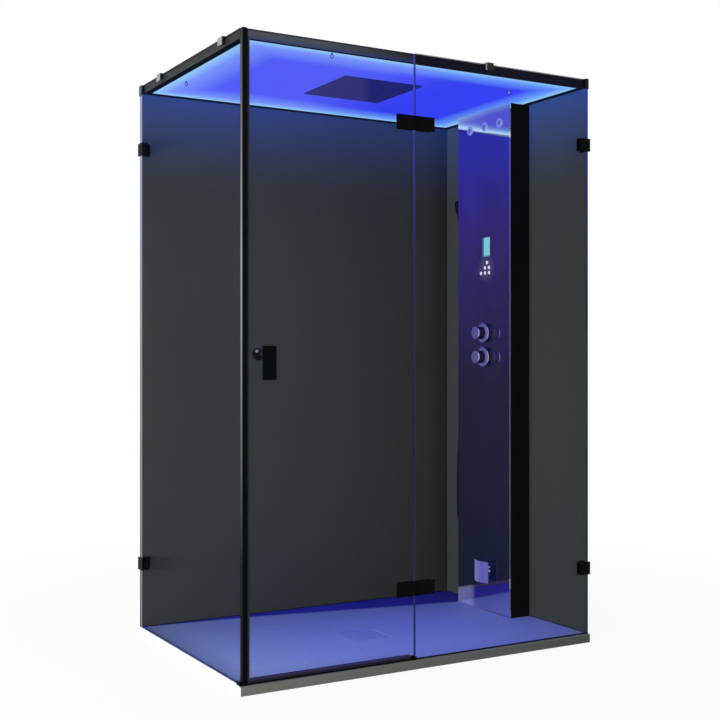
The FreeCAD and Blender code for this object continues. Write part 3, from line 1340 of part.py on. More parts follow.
def valve_knob(z, with_pin):
    """A round chrome grip with shallow flutes on its spindle. The mixer's knob has a small grip pin below."""
    grip = rod(VALVE_KNOB_RADIUS, (VALVE_KNOB_FRONT, CONTROL_Y, z), (VALVE_KNOB_BACK, CONTROL_Y, z))
    grip = grip.makeFillet(VALVE_KNOB_ROUND, [grip.Edges[index] for index in front_ring(grip)])
    flutes = []
    for index in range(VALVE_KNOB_FLUTES):
        angle = 2 * math.pi * (index + 0.5) / VALVE_KNOB_FLUTES
        y = CONTROL_Y + (VALVE_KNOB_RADIUS + FLUTE_RADIUS * 0.6) * math.cos(angle)
        flute_z = z + (VALVE_KNOB_RADIUS + FLUTE_RADIUS * 0.6) * math.sin(angle)
        start = VALVE_KNOB_FRONT + FLUTE_START
        flutes.append(rod(FLUTE_RADIUS, (start, y, flute_z), (VALVE_KNOB_BACK - FLUTE_START, y, flute_z)))
    grip = grip.cut(Part.makeCompound(flutes))
    spindle_end = (NOSE_FRONT + SPINDLE_BITE, CONTROL_Y, z)
    spindle = rod(SPINDLE_RADIUS, (VALVE_KNOB_BACK - 1, CONTROL_Y, z), spindle_end)
    knob = joined(grip, spindle)
    if with_pin:
        pin_x = VALVE_KNOB_BACK - GRIP_PIN_BACK
        reach = VALVE_KNOB_RADIUS + GRIP_PIN_PROUD
        pin = rod(GRIP_PIN_RADIUS, (pin_x, CONTROL_Y, z), (pin_x, CONTROL_Y, z - reach))
        knob = joined(knob, pin)
    return knob


def inlet_fittings():
    """Hot and cold unions from the manifold through the wall, bored for the supply pipes."""
    unions = []
    for y in inlet_places():
        body = rod(INLET_RADIUS, (MANIFOLD_BACK, y, INLET_Z), (RIGHT_OUT, y, INLET_Z))
        bore = rod(INLET_BORE_RADIUS, (RIGHT_OUT - INLET_BORE_DEPTH, y, INLET_Z), (RIGHT_OUT + 1, y, INLET_Z))
        unions.append(body.cut(bore))
    return unions


# ---------------------------------------------------------------- pipes
def hose_feed_z():
    return HOSE_POINTS[-1][2] + ELBOW_RISE


def internal_pipes():
    """Water pipes to the rain head, the jets and the hose outlet, and the steam pipe."""
    roof_z = (DIFFUSER_TOP + RAIL_TOP) / 2
    chamber_side = RAIN_HEAD_X + RAIN_HEAD_SIDE / 2 - RAIN_CHAMBER_INSET
    rain = pipe(
        [
            (RISER_X, RAIN_RISER_Y, MANIFOLD_HIGH),
            (RISER_X, RAIN_RISER_Y, roof_z),
            (chamber_side, RAIN_RISER_Y, roof_z),
        ],
        PIPE_RADIUS,
        PIPE_WALL,
        PIPE_BEND,
    )
    jet_x = JET_BODY_BACK + JET_PIPE_RADIUS
    jet_riser_y = CONTROL_Y + JET_RISER_OFFSET
    jet_ends = (min(JET_PLACES) - JET_PIPE_RADIUS, max(JET_PLACES) + JET_PIPE_RADIUS)

    def jet_tee(radius, end_wall):
        header = rod(radius, (jet_x, jet_ends[0] + end_wall, JET_Z), (jet_x, jet_ends[1] - end_wall, JET_Z))
        riser = rod(radius, (jet_x, jet_riser_y, MANIFOLD_HIGH), (jet_x, jet_riser_y, JET_Z))
        return joined(header, riser)

    jets = jet_tee(JET_PIPE_RADIUS, 0).cut(jet_tee(JET_PIPE_RADIUS - PIPE_WALL, PIPE_WALL))
    hose_feed = pipe(
        [
            (HOSE_FEED_X, HOSE_FEED_Y, MANIFOLD_LOW),
            (HOSE_FEED_X, HOSE_FEED_Y, hose_feed_z()),
            (HOSE_FEED_X, COLUMN_FAR - COLUMN_SHEET, hose_feed_z()),
        ],
        PIPE_RADIUS,
        PIPE_WALL,
        PIPE_BEND,
    )
    steam_x = (TANK_FRONT + TANK_BACK) / 2
    steam_y = TANK_NEAR - STEAM_PIPE_BEND - STEAM_PORT_RUN
    port_z = TANK_HIGH_Z - STEAM_PORT_DROP
    steam = pipe(
        [
            (steam_x, TANK_NEAR, port_z),
            (steam_x, steam_y, port_z),
            (steam_x, steam_y, STEAM_OUTLET_Z),
            (steam_x, CONTROL_Y, STEAM_OUTLET_Z),
            (SHEET_BACK + STEAM_NOZZLE_FLANGE, CONTROL_Y, STEAM_OUTLET_Z),
        ],
        STEAM_PIPE_RADIUS,
        PIPE_WALL,
        STEAM_PIPE_BEND,
    )
    return [rain, jets, hose_feed, steam]


# ---------------------------------------------------------------- steam generator and outlet
def steam_generator_tank():
    """A slim boiler on the wall behind the column's front, with one port for the steam pipe."""
    outer = block((TANK_FRONT, TANK_BACK), (TANK_NEAR, TANK_FAR), (TANK_LOW_Z, TANK_HIGH_Z))
    outer = softened(outer, TANK_CORNER, ALONG_X)
    inner = block(
        (TANK_FRONT + TANK_WALL, TANK_BACK - TANK_WALL),
        (TANK_NEAR + TANK_WALL, TANK_FAR - TANK_WALL),
        (TANK_LOW_Z + TANK_WALL, TANK_HIGH_Z - TANK_WALL),
    )
    inner = softened(inner, TANK_CORNER - TANK_WALL, ALONG_X)
    steam_x = (TANK_FRONT + TANK_BACK) / 2
    port_z = TANK_HIGH_Z - STEAM_PORT_DROP
    port = rod(
        STEAM_PIPE_RADIUS - PIPE_WALL,
        (steam_x, TANK_NEAR - 1, port_z),
        (steam_x, TANK_NEAR + TANK_WALL + 1, port_z),
    )
    rails = []
    for y in (TANK_NEAR + TANK_PIPE_ROOM, TANK_FAR - TANK_PIPE_ROOM):
        y_span = (y - TANK_RAIL_WIDTH / 2, y + TANK_RAIL_WIDTH / 2)
        z_span = (TANK_LOW_Z + TANK_RAIL_END, TANK_HIGH_Z - TANK_RAIL_END)
        rails.append(block((TANK_BACK, RIGHT_IN), y_span, z_span))
    return joined(outer.cut(inner), *rails).cut(port)


def heating_element():
    """A bent rod element low in the tank, ending at the tank's far wall."""
    x = (TANK_FRONT + TANK_BACK) / 2
    wall = TANK_FAR - TANK_WALL
    turn_y = TANK_NEAR + ELEMENT_END_GAP
    points = [
        (x, wall, ELEMENT_Z),
        (x, turn_y, ELEMENT_Z),
        (x, turn_y, ELEMENT_Z + ELEMENT_SPREAD),
        (x, wall, ELEMENT_Z + ELEMENT_SPREAD),
    ]
    path, radii = tube_path(points, lambda before, after, turn: ELEMENT_BEND)
    return swept(path, ELEMENT_RADIUS, points)


def steam_outlet_nozzle():
    """A flanged nozzle through the column's front, with two posts for the shield."""
    flange = rod(
        STEAM_NOZZLE_RADIUS,
        (NOZZLE_FRONT, CONTROL_Y, STEAM_OUTLET_Z),
        (COLUMN_FRONT, CONTROL_Y, STEAM_OUTLET_Z),
    )
    flange = flange.makeFillet(STEAM_NOZZLE_ROUND, [flange.Edges[index] for index in front_ring(flange)])
    neck = rod(
        STEAM_NOZZLE_PASS,
        (COLUMN_FRONT - 1, CONTROL_Y, STEAM_OUTLET_Z),
        (SHEET_BACK + STEAM_NOZZLE_FLANGE, CONTROL_Y, STEAM_OUTLET_Z),
    )
    bore = rod(
        STEAM_PIPE_RADIUS - PIPE_WALL,
        (NOZZLE_FRONT - 1, CONTROL_Y, STEAM_OUTLET_Z),
        (SHEET_BACK + STEAM_NOZZLE_FLANGE + 1, CONTROL_Y, STEAM_OUTLET_Z),
    )
    body = joined(flange, neck).cut(bore)
    posts = []
    for dy in (-SHIELD_POST_SPREAD, SHIELD_POST_SPREAD):
        y = CONTROL_Y + dy
        start = (shield_back_x(dy), y, STEAM_OUTLET_Z)
        end = (NOZZLE_FRONT + STEAM_NOZZLE_ROUND + 1, y, STEAM_OUTLET_Z)
        posts.append(rod(SHIELD_POST_RADIUS, start, end))
    return joined(body, *posts)


SHIELD_INNER_RADIUS = ((SHIELD_WIDTH / 2) ** 2 + SHIELD_BULGE ** 2) / (2 * SHIELD_BULGE)
SHIELD_AXIS_X = COLUMN_FRONT - SHIELD_STANDOFF - SHIELD_BULGE + SHIELD_INNER_RADIUS


def shield_back_x(dy):
    """X of the shield's back face at a distance from its middle, just short of it for the posts."""
    return SHIELD_AXIS_X - math.sqrt(SHIELD_INNER_RADIUS ** 2 - (abs(dy) + SHIELD_POST_RADIUS) ** 2)


def steam_outlet_shield():
    """A bowed plate in front of the nozzle that turns the steam aside."""
    z_span = (STEAM_OUTLET_Z - SHIELD_HEIGHT / 2, STEAM_OUTLET_Z + SHIELD_HEIGHT / 2)
    low = (SHIELD_AXIS_X, CONTROL_Y, z_span[0])
    high = (SHIELD_AXIS_X, CONTROL_Y, z_span[1])
    outer = rod(SHIELD_INNER_RADIUS + SHIELD_THICKNESS, low, high)
    inner = rod(SHIELD_INNER_RADIUS, low, high)
    outer_front = SHIELD_AXIS_X - SHIELD_INNER_RADIUS - SHIELD_THICKNESS
    window = block(
        (outer_front - 1, COLUMN_FRONT - SHIELD_STANDOFF + SHIELD_THICKNESS),
        (CONTROL_Y - SHIELD_WIDTH / 2, CONTROL_Y + SHIELD_WIDTH / 2),
        z_span,
    )
    return outer.cut(inner).common(window)


# ---------------------------------------------------------------- hand shower
def turned(profile):
    """A solid turned about the handset's axis from (radius, distance from the bottom) points."""
    points = [FreeCAD.Vector(radius, 0, along) for radius, along in profile]
    face = Part.Face(Part.makePolygon(points + points[:1]))
    solid = face.revolve(FreeCAD.Vector(0, 0, 0), ALONG_Z, 360)
    placement = FreeCAD.Placement(
        FreeCAD.Vector(*HANDSET_BOTTOM),
        FreeCAD.Rotation(ALONG_Z, HANDSET_AXIS),
    )
    solid.Placement = placement
    return solid


def handle_radius(along):
    """Radius of the handset's grip, which widens upwards through the cup."""
    share = (along - HANDSET_NUT) / (CUP_LOW + CUP_HEIGHT - HANDSET_NUT)
    share = min(max(share, 0.0), 1.0)
    return HANDSET_HANDLE_RADIUS + (HANDSET_TAPER_RADIUS - HANDSET_HANDLE_RADIUS) * share


def hand_shower():
    """A slim bar handset with its hose nut below and a wider spray head above."""
    cup_top = CUP_LOW + CUP_HEIGHT
    head_start = HANDSET_LENGTH - HANDSET_HEAD_LENGTH
    return turned(
        [
            (0, 0),
            (HANDSET_NUT_RADIUS, 0),
            (HANDSET_NUT_RADIUS, HANDSET_NUT),
            (HANDSET_HANDLE_RADIUS, HANDSET_NUT),
            (HANDSET_TAPER_RADIUS, cup_top),
            (HANDSET_TAPER_RADIUS, head_start),
            (HANDSET_HEAD_RADIUS, head_start + HANDSET_HEAD_LENGTH / 4),
            (HANDSET_HEAD_RADIUS, HANDSET_LENGTH - 5),
            (HANDSET_HEAD_RADIUS - 4, HANDSET_LENGTH),
            (0, HANDSET_LENGTH),
        ]
    )


def hand_shower_holder():
    """A tapered cup for the handset on a round wall plate."""
    cup_top = CUP_LOW + CUP_HEIGHT
    inner_low = handle_radius(CUP_LOW) + CUP_CLEARANCE
    inner_high = handle_radius(cup_top) + CUP_CLEARANCE
    outer_low = inner_low + CUP_WALL
    outer_high = inner_high + CUP_WALL
    cup = turned([(0, CUP_LOW), (outer_low, CUP_LOW), (outer_high, cup_top), (0, cup_top)])
    hole = turned(
        [
            (0, CUP_LOW - 1),
            (handle_radius(CUP_LOW - 1) + CUP_CLEARANCE, CUP_LOW - 1),
            (inner_high, cup_top),
            (inner_high, cup_top + 1),
            (0, cup_top + 1),
        ]
    )
    middle = FreeCAD.Vector(*HANDSET_BOTTOM) + HANDSET_AXIS * (CUP_LOW + CUP_HEIGHT / 2)
    on_wall = (middle.x, COLUMN_FAR, middle.z)
    plate = rod(CUP_PLATE_RADIUS, on_wall, (middle.x, COLUMN_FAR + CUP_PLATE, middle.z))
    arm = block(
        (middle.x - CUP_ARM / 2, middle.x + CUP_ARM / 2),
        (COLUMN_FAR, middle.y),
        (middle.z - CUP_ARM / 2, middle.z + CUP_ARM / 2),
    )
    return joined(plate, arm, cup).cut(hole)


def shower_hose():
    """The hose as straight runs and large arcs through the chosen points."""

    def widest(before, after, turn):
        return 0.45 * min(before, after) / math.tan(turn / 2)

    path, radii = tube_path(HOSE_POINTS, widest)
    hose = swept(path, HOSE_DIAMETER / 2, HOSE_POINTS)
    section = math.pi * (HOSE_DIAMETER / 2) ** 2
    print("hose length", round(path.Length, 1), "smallest radius", round(min(radii), 1))
    print("hose radii", [round(radius) for radius in radii])
    print("hose volume over section times length", round(hose.Volume / (section * path.Length), 4))
    return hose


def hose_outlet_elbow():
    """The chrome elbow on the column's far side that feeds the hose downwards."""
    x, y, hose_end = HOSE_POINTS[-1]
    z = hose_feed_z()
    body = rod(ELBOW_BODY_RADIUS, (x, COLUMN_FAR - COLUMN_SHEET, z), (x, y, z))
    knee = ball(ELBOW_BALL_RADIUS, (x, y, z))
    down = rod(ELBOW_BODY_RADIUS, (x, y, hose_end), (x, y, z))
    nut = rod(ELBOW_NUT_RADIUS, (x, y, hose_end), (x, y, hose_end + ELBOW_NUT))
    plate = rod(ELBOW_PLATE_RADIUS, (x, COLUMN_FAR, z), (x, COLUMN_FAR + ELBOW_PLATE, z))
    return joined(body, knee, down, nut, plate)


# ---------------------------------------------------------------- write every sub-part
def main():
    os.makedirs("parts", exist_ok=True)
    save("tray", tray())
    save("drain_flange", drain_flange())
    save("drain_cover", drain_cover())
    save("left_glass_panel", left_glass_panel())
    save("fixed_glass_panel", fixed_glass_panel())
    save("back_wall_panel", back_wall_panel())
    save("right_wall_panel", right_wall_panel())
    save("panel_seals", *panel_seals())
    save("corner_post", corner_post())
    save("sill_blocks", *sill_blocks())
    save("threshold_strip", threshold_strip())
    save("long_roof_rails", *long_roof_rails())
    save("short_roof_rails", *short_roof_rails())
    save("roof_cover_panel", roof_cover_panel())
    save("ceiling_diffuser", ceiling_diffuser())
    save("led_strips", *led_strips())
    save("ceiling_fixings", *ceiling_fixings())
    save("rain_head_plate", rain_head_plate())
    save("rain_head_nozzle_mat", rain_head_nozzle_mat())
    save("rain_head_chamber", rain_head_chamber())
    save("roof_clips", *roof_clips())
    clamps, clamp_screws = wall_clamps()
    save("wall_clamps", *clamps)
    save("fixing_screws", *hinge_screws(1), *clamp_screws)
    save("hinge_fixed_leaves", *hinge_leaves(1))
    save("hinge_door_leaves", *hinge_leaves(-1))
    save("hinge_pins", *hinge_pins())
    save("door_glass", door_glass())
    save("door_magnet_strip", door_magnet_strip())
    save("door_seals", *door_seals())
    save("door_screws", *hinge_screws(-1), bolt_tool(0))
    save("handle_plate", handle_plate())
    save("inner_door_knob", inner_door_knob())
    save("column_housing", column_housing())
    save("column_mirror_panel", column_mirror_panel())
    save("display_screen", display_screen())
    save("control_board", control_board())
    for name, y, z in button_places():
        save(name, push_button(y, z))
    save("jet_housings", *jet_housings())
    for name, y in zip(("jet_ball_near", "jet_ball_middle", "jet_ball_far"), JET_PLACES):
        save(name, jet_ball(y))
    save("valve_manifold", valve_manifold())
    save("valve_escutcheons", *valve_escutcheons())
    save("diverter_knob", valve_knob(VALVE_UPPER_Z, False))
    save("temperature_knob", valve_knob(VALVE_LOWER_Z, True))
    save("inlet_fittings", *inlet_fittings())
    save("internal_pipes", *internal_pipes())
    save("steam_generator_tank", steam_generator_tank())
    save("heating_element", heating_element())
    save("steam_outlet_nozzle", steam_outlet_nozzle())
    save("steam_outlet_shield", steam_outlet_shield())
    save("hand_shower", hand_shower())
    save("hand_shower_holder", hand_shower_holder())
    save("shower_hose", shower_hose())
    save("hose_outlet_elbow", hose_outlet_elbow())


main()
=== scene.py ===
"""Steam shower cabin: materials, hose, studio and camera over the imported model."""
import bpy
import math
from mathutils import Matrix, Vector


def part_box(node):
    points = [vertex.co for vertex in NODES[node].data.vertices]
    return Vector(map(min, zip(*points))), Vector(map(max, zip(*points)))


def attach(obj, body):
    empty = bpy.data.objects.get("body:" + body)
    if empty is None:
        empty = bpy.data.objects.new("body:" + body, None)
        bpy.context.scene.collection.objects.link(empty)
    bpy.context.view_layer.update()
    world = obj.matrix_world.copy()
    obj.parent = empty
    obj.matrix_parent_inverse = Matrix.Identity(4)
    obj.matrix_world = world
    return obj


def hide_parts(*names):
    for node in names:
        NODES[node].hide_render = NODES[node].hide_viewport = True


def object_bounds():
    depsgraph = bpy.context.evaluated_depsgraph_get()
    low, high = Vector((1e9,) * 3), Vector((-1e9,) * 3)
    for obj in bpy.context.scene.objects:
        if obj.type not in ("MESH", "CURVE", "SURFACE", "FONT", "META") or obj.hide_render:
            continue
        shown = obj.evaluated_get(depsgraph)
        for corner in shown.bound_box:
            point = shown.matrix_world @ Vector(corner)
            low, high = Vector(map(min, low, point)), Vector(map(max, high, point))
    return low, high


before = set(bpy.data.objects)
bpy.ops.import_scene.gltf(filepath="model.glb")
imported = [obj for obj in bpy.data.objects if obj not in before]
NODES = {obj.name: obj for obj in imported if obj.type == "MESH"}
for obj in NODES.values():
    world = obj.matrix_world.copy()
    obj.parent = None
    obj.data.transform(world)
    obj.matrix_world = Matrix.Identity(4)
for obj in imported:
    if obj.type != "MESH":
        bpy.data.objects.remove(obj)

CAD_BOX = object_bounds()

# ---------------------------------------------------------------- camera
CAMERA_PLACE = (-2.3435, -4.0609, 1.1215)
CAMERA_YAW = -29.90
CAMERA_LENS = 58.706
CAMERA_SENSOR = 36.0
CAMERA_SHIFT_Y = -0.00315


def make_camera():
    data = bpy.data.cameras.new("camera")
    data.lens = CAMERA_LENS
    data.sensor_width = CAMERA_SENSOR
    data.shift_y = CAMERA_SHIFT_Y
    camera = bpy.data.objects.new("camera", data)
    bpy.context.scene.collection.objects.link(camera)
    camera.location = CAMERA_PLACE
    camera.rotation_euler = (math.radians(90.0), 0.0, math.radians(CAMERA_YAW))
    bpy.context.scene.camera = camera


make_camera()

# ---------------------------------------------------------------- shower hose
WALL_X = 0.743
COLUMN_FAR_Y = 0.252
HOSE_DIAMETER = 0.012
HANDSET_BOTTOM = Vector((0.696, 0.2791, 1.611))
HANDSET_LEAN = math.radians(14.0)
HANDSET_AXIS = Vector((0.0, math.sin(HANDSET_LEAN), math.cos(HANDSET_LEAN)))
HOSE_START_GAP = 0.0001
HOSE_START_RUN = 0.041

# below the handset: distance from the end wall, distance beyond the column, height, in metres
HOSE_ROUTE = [
    (0.0460, 0.0200, 1.500),
    (0.0440, 0.0310, 1.390),
    (0.0400, 0.0490, 1.240),
    (0.0340, 0.0670, 1.080),
    (0.0300, 0.0890, 0.910),
    (0.0240, 0.1050, 0.745),
    (0.0220, 0.1180, 0.590),
    (0.0190, 0.1220, 0.485),
    (0.0200, 0.1210, 0.415),
    (0.0335, 0.0917, 0.383),
    (0.0525, 0.0503, 0.383),
    (0.0660, 0.0210, 0.415),
    (0.0665, 0.0200, 0.478),
    (0.0650, 0.0230, 0.560),
    (0.0650, 0.0230, 0.625),
]


def make_hose():
    drops = (HOSE_START_GAP, HOSE_START_RUN)
    points = [tuple(HANDSET_BOTTOM - HANDSET_AXIS * drop) for drop in drops]
    points += [(WALL_X - back, COLUMN_FAR_Y + out, height) for back, out, height in HOSE_ROUTE]
    curve = bpy.data.curves.new("hose_line", "CURVE")
    curve.dimensions = "3D"
    curve.bevel_depth = HOSE_DIAMETER / 2
    curve.bevel_resolution = 8
    curve.resolution_u = 16
    spline = curve.splines.new("NURBS")
    spline.points.add(len(points) - 1)
    for item, point in zip(spline.points, points):
        item.co = (point[0], point[1], point[2], 1.0)
    spline.order_u = 3
    spline.use_endpoint_u = True
    hose = bpy.data.objects.new("hose", curve)
    bpy.context.scene.collection.objects.link(hose)
    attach(hose, "cabin")
    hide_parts("shower_hose")
    return hose


HOSE = make_hose()


# ---------------------------------------------------------------- node helpers
NOISE_SPAN = (0.3, 0.7)


class Graph:
    """A short way to write a material's node tree."""

    def __init__(self, name):
        self.material = bpy.data.materials.new(name)
        self.material.use_nodes = True
        self.tree = self.material.node_tree
        self.tree.nodes.clear()
        self.coordinates = self.node("ShaderNodeTexCoord")

    def node(self, kind, **settings):
        made = self.tree.nodes.new(kind)
        for key, value in settings.items():
            setattr(made, key, value)
        return made

    def link(self, out, into):
        self.tree.links.new(out, into)

    def put(self, socket, value):
        """A link if value is a socket, or else a plain value."""
        if isinstance(value, bpy.types.NodeSocket):
            self.link(value, socket)
        elif isinstance(value, tuple) and len(value) == 3 and socket.type == "RGBA":
            socket.default_value = (*value, 1.0)
        else:
            socket.default_value = value

    def math(self, operation, first, second=0.0):
        made = self.node("ShaderNodeMath", operation=operation)
        self.put(made.inputs[0], first)
        self.put(made.inputs[1], second)
        return made.outputs[0]

    def place(self):
        """X, Y and Z of the surface point in the part's own frame."""
        made = self.node("ShaderNodeSeparateXYZ")
        self.link(self.coordinates.outputs["Object"], made.inputs[0])
        return made.outputs

    def facing(self):
        """X, Y and Z of the face's direction in the part's own frame."""
        made = self.node("ShaderNodeSeparateXYZ")
        self.link(self.coordinates.outputs["Normal"], made.inputs[0])
        return made.outputs

    def stretched(self, scale):
        made = self.node("ShaderNodeMapping")
        made.inputs["Scale"].default_value = scale
        self.link(self.coordinates.outputs["Object"], made.inputs["Vector"])
        return made.outputs[0]

    def noise(self, scale, detail=3.0, vector=None, roughness=0.55):
        made = self.node("ShaderNodeTexNoise")
        made.inputs["Scale"].default_value = scale
        made.inputs["Detail"].default_value = detail
        made.inputs["Roughness"].default_value = roughness
        self.link(vector or self.coordinates.outputs["Object"], made.inputs["Vector"])
        return made.outputs[0]

    def ramp(self, value, *stops):
        made = self.node("ShaderNodeValToRGB")
        elements = made.color_ramp.elements
        while len(elements) < len(stops):
            elements.new(0.5)
        for element, (place, color) in zip(elements, stops):
            element.position = place
            channels = color if isinstance(color, tuple) else (color, color, color)
            element.color = (*channels, 1.0)
        self.put(made.inputs[0], value)
        return made.outputs[0]

    def mix(self, factor, first, second):
        made = self.node("ShaderNodeMix", data_type="RGBA")
        self.put(made.inputs["Factor"], factor)
        self.put(made.inputs["A"], first)
        self.put(made.inputs["B"], second)
        return made.outputs["Result"]

    def range(self, value, low, high, out_low=0.0, out_high=1.0, smooth=False):
        made = self.node("ShaderNodeMapRange")
        made.interpolation_type = "SMOOTHSTEP" if smooth else "LINEAR"
        self.put(made.inputs["Value"], value)
        made.inputs["From Min"].default_value = low
        made.inputs["From Max"].default_value = high
        made.inputs["To Min"].default_value = out_low
        made.inputs["To Max"].default_value = out_high
        return made.outputs["Result"]

    def past(self, value, edge, blur=0.001):
        """1 where the value lies past the edge and 0 before it."""
        return self.range(value, edge - blur / 2, edge + blur / 2)

    def before(self, value, edge, blur=0.001):
        """1 where the value lies before the edge and 0 past it."""
        return self.range(value, edge - blur / 2, edge + blur / 2, 1.0, 0.0)

    def turned(self, component):
        """1 on faces that look towards the low end of an axis and 0 on the others."""
        return self.before(component, -0.5, 0.2)

    def vary(self, noise, low, high):
        """A number from low to high that follows a noise."""
        return self.range(noise, *NOISE_SPAN, low, high)

    def shades(self, noise, dark, pale):
        """A colour from dark to pale that follows a noise."""
        return self.ramp(noise, (NOISE_SPAN[0], dark), (NOISE_SPAN[1], pale))

    def bump(self, height, strength, distance=0.001):
        made = self.node("ShaderNodeBump")
        made.inputs["Strength"].default_value = strength
        made.inputs["Distance"].default_value = distance
        self.link(height, made.inputs["Height"])
        return made.outputs[0]

    def principled(self, color, roughness, **more):
        made = self.node("ShaderNodeBsdfPrincipled")
        self.put(made.inputs["Base Color"], color)
        self.put(made.inputs["Roughness"], roughness)
        for key, value in more.items():
            self.put(made.inputs[key.replace("_", " ")], value)
        return made.outputs[0]

    def emission(self, color, strength=1.0):
        made = self.node("ShaderNodeEmission")
        self.put(made.inputs["Color"], color)
        self.put(made.inputs["Strength"], strength)
        return made.outputs[0]

    def blend(self, factor, first, second):
        made = self.node("ShaderNodeMixShader")
        self.put(made.inputs[0], factor)
        self.link(first, made.inputs[1])
        self.link(second, made.inputs[2])
        return made.outputs[0]

    def finish(self, shader):
        out = self.node("ShaderNodeOutputMaterial")
        self.link(shader, out.inputs["Surface"])
        return self.material


# ---------------------------------------------------------------- places and shares that the materials use
POST_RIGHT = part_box("corner_post")[1][0]
LEFT_PANE_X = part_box("left_glass_panel")[0][0]
LEFT_SEAL_END = LEFT_PANE_X + 0.0095
FRONT_PANE_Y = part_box("fixed_glass_panel")[0][1]
RAIL_FRONT_Y, RAIL_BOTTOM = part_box("long_roof_rails")[0][1:3]
LIGHT_LOW, LIGHT_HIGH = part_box("led_strips")
COLUMN_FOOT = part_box("column_mirror_panel")[0][2]
COLUMN_LIP_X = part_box("column_mirror_panel")[1][0]
DISPLAY_BOTTOM, DISPLAY_TOP = (corner[2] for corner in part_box("display_screen"))
DOOR_SEAL_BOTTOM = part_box("door_seals")[0][2]
SHIELD_FAR_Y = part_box("steam_outlet_shield")[1][1]
CABIN_TOP = 2.2
LIT_ROOF_Z = 2.18
ROOF_FRAME_LOW = 2.15
RAIN_DIMPLE_PITCH = 0.012
WALL_GLOW_FOOT = 1.80
BEHIND_COLUMN = (0.20, 0.30)
POST_PAINTED_SHADE = (0.3, 1.5)
WEDGE_BACK_SLOPE = 0.19
WEDGE_BACK = (0.375, 0.400)
WEDGE_CORNER_SLOPE = 0.107
WEDGE_CORNER = (0.404, 0.416)
LIGHT_REACH = 0.25
LIGHT_ROUNDING = 0.03
RAIN_LIGHT_SLOPE = 0.58
RIGHT_CLIP_X = 0.655
BACK_CLIP_Y = 0.445
DISPLAY_STRIP_Y = 0.059
BUTTONS_MIDDLE = (0.045, 1.505)
BUTTONS_HALO_SQUARED = 0.0045
KNOB_OUTER_RING = 0.5885
KNOB_INNER_RING = (0.61825, 0.62425)
REFLECTED_SLOPE = 0.26
REFLECTED_FLOOR = 0.165
REFLECTED_ROOF = 2.076
REFLECTED_RIM = 2.090
GLOSS_STARTS = 0.74
GLOSS_AT_GRAZING = 0.30


# ---------------------------------------------------------------- materials
def black_coat():
    """Satin black powder coat with a fine orange peel."""
    g = Graph("black_coat")
    peel = g.noise(900.0, 2.0)
    cloud = g.noise(35.0, 4.0)
    tone = g.ramp(cloud, (0.35, (0.0010, 0.0010, 0.0012)), (0.7, (0.0018, 0.0017, 0.0020)))
    rough = g.vary(g.noise(60.0, 4.0), 0.36, 0.48)
    return g.finish(g.principled(tone, rough, Normal=g.bump(peel, 0.12, 0.0002), Specular_IOR_Level=0.03))


def knob_black():
    """Polished black ball with bluish light painted on its top and one small painted highlight, both
    emission.
    """
    g = Graph("knob_black")
    facing = g.facing()
    wipe = g.noise(80.0, 3.0)
    tone = g.shades(wipe, (0.0020, 0.0020, 0.0026), (0.0035, 0.0034, 0.0042))
    # painted highlight: a small bright spot where the face turns up, to the front and to the left
    toward_painted_highlight = g.math("MULTIPLY", facing["X"], -0.50)
    toward_painted_highlight = g.math("ADD", toward_painted_highlight, g.math("MULTIPLY", facing["Y"], -0.74))
    toward_painted_highlight = g.math("ADD", toward_painted_highlight, g.math("MULTIPLY", facing["Z"], 0.45))
    # painted bluish light on the faces that look up
    crown = g.mix(g.range(facing["Z"], 0.2, 0.9), (0.0, 0.0, 0.002), (0.012, 0.010, 0.050))
    lit = g.mix(g.range(toward_painted_highlight, 0.955, 0.995, smooth=True), crown, (0.24, 0.24, 0.28))
    rough = g.vary(wipe, 0.12, 0.20)
    return g.finish(
        g.principled(
            tone,
            rough,
            Specular_IOR_Level=0.03,
            Emission_Color=lit,
            Emission_Strength=1.0,
        )
    )


def black_gloss():
    """Gloss black finish of the hand shower and its holder."""
    g = Graph("black_gloss")
    wipe = g.noise(90.0, 4.0)
    tone = g.shades(wipe, (0.0025, 0.0022, 0.0045), (0.0045, 0.0040, 0.0075))
    return g.finish(g.principled(tone, g.vary(wipe, 0.12, 0.22), Specular_IOR_Level=0.12))


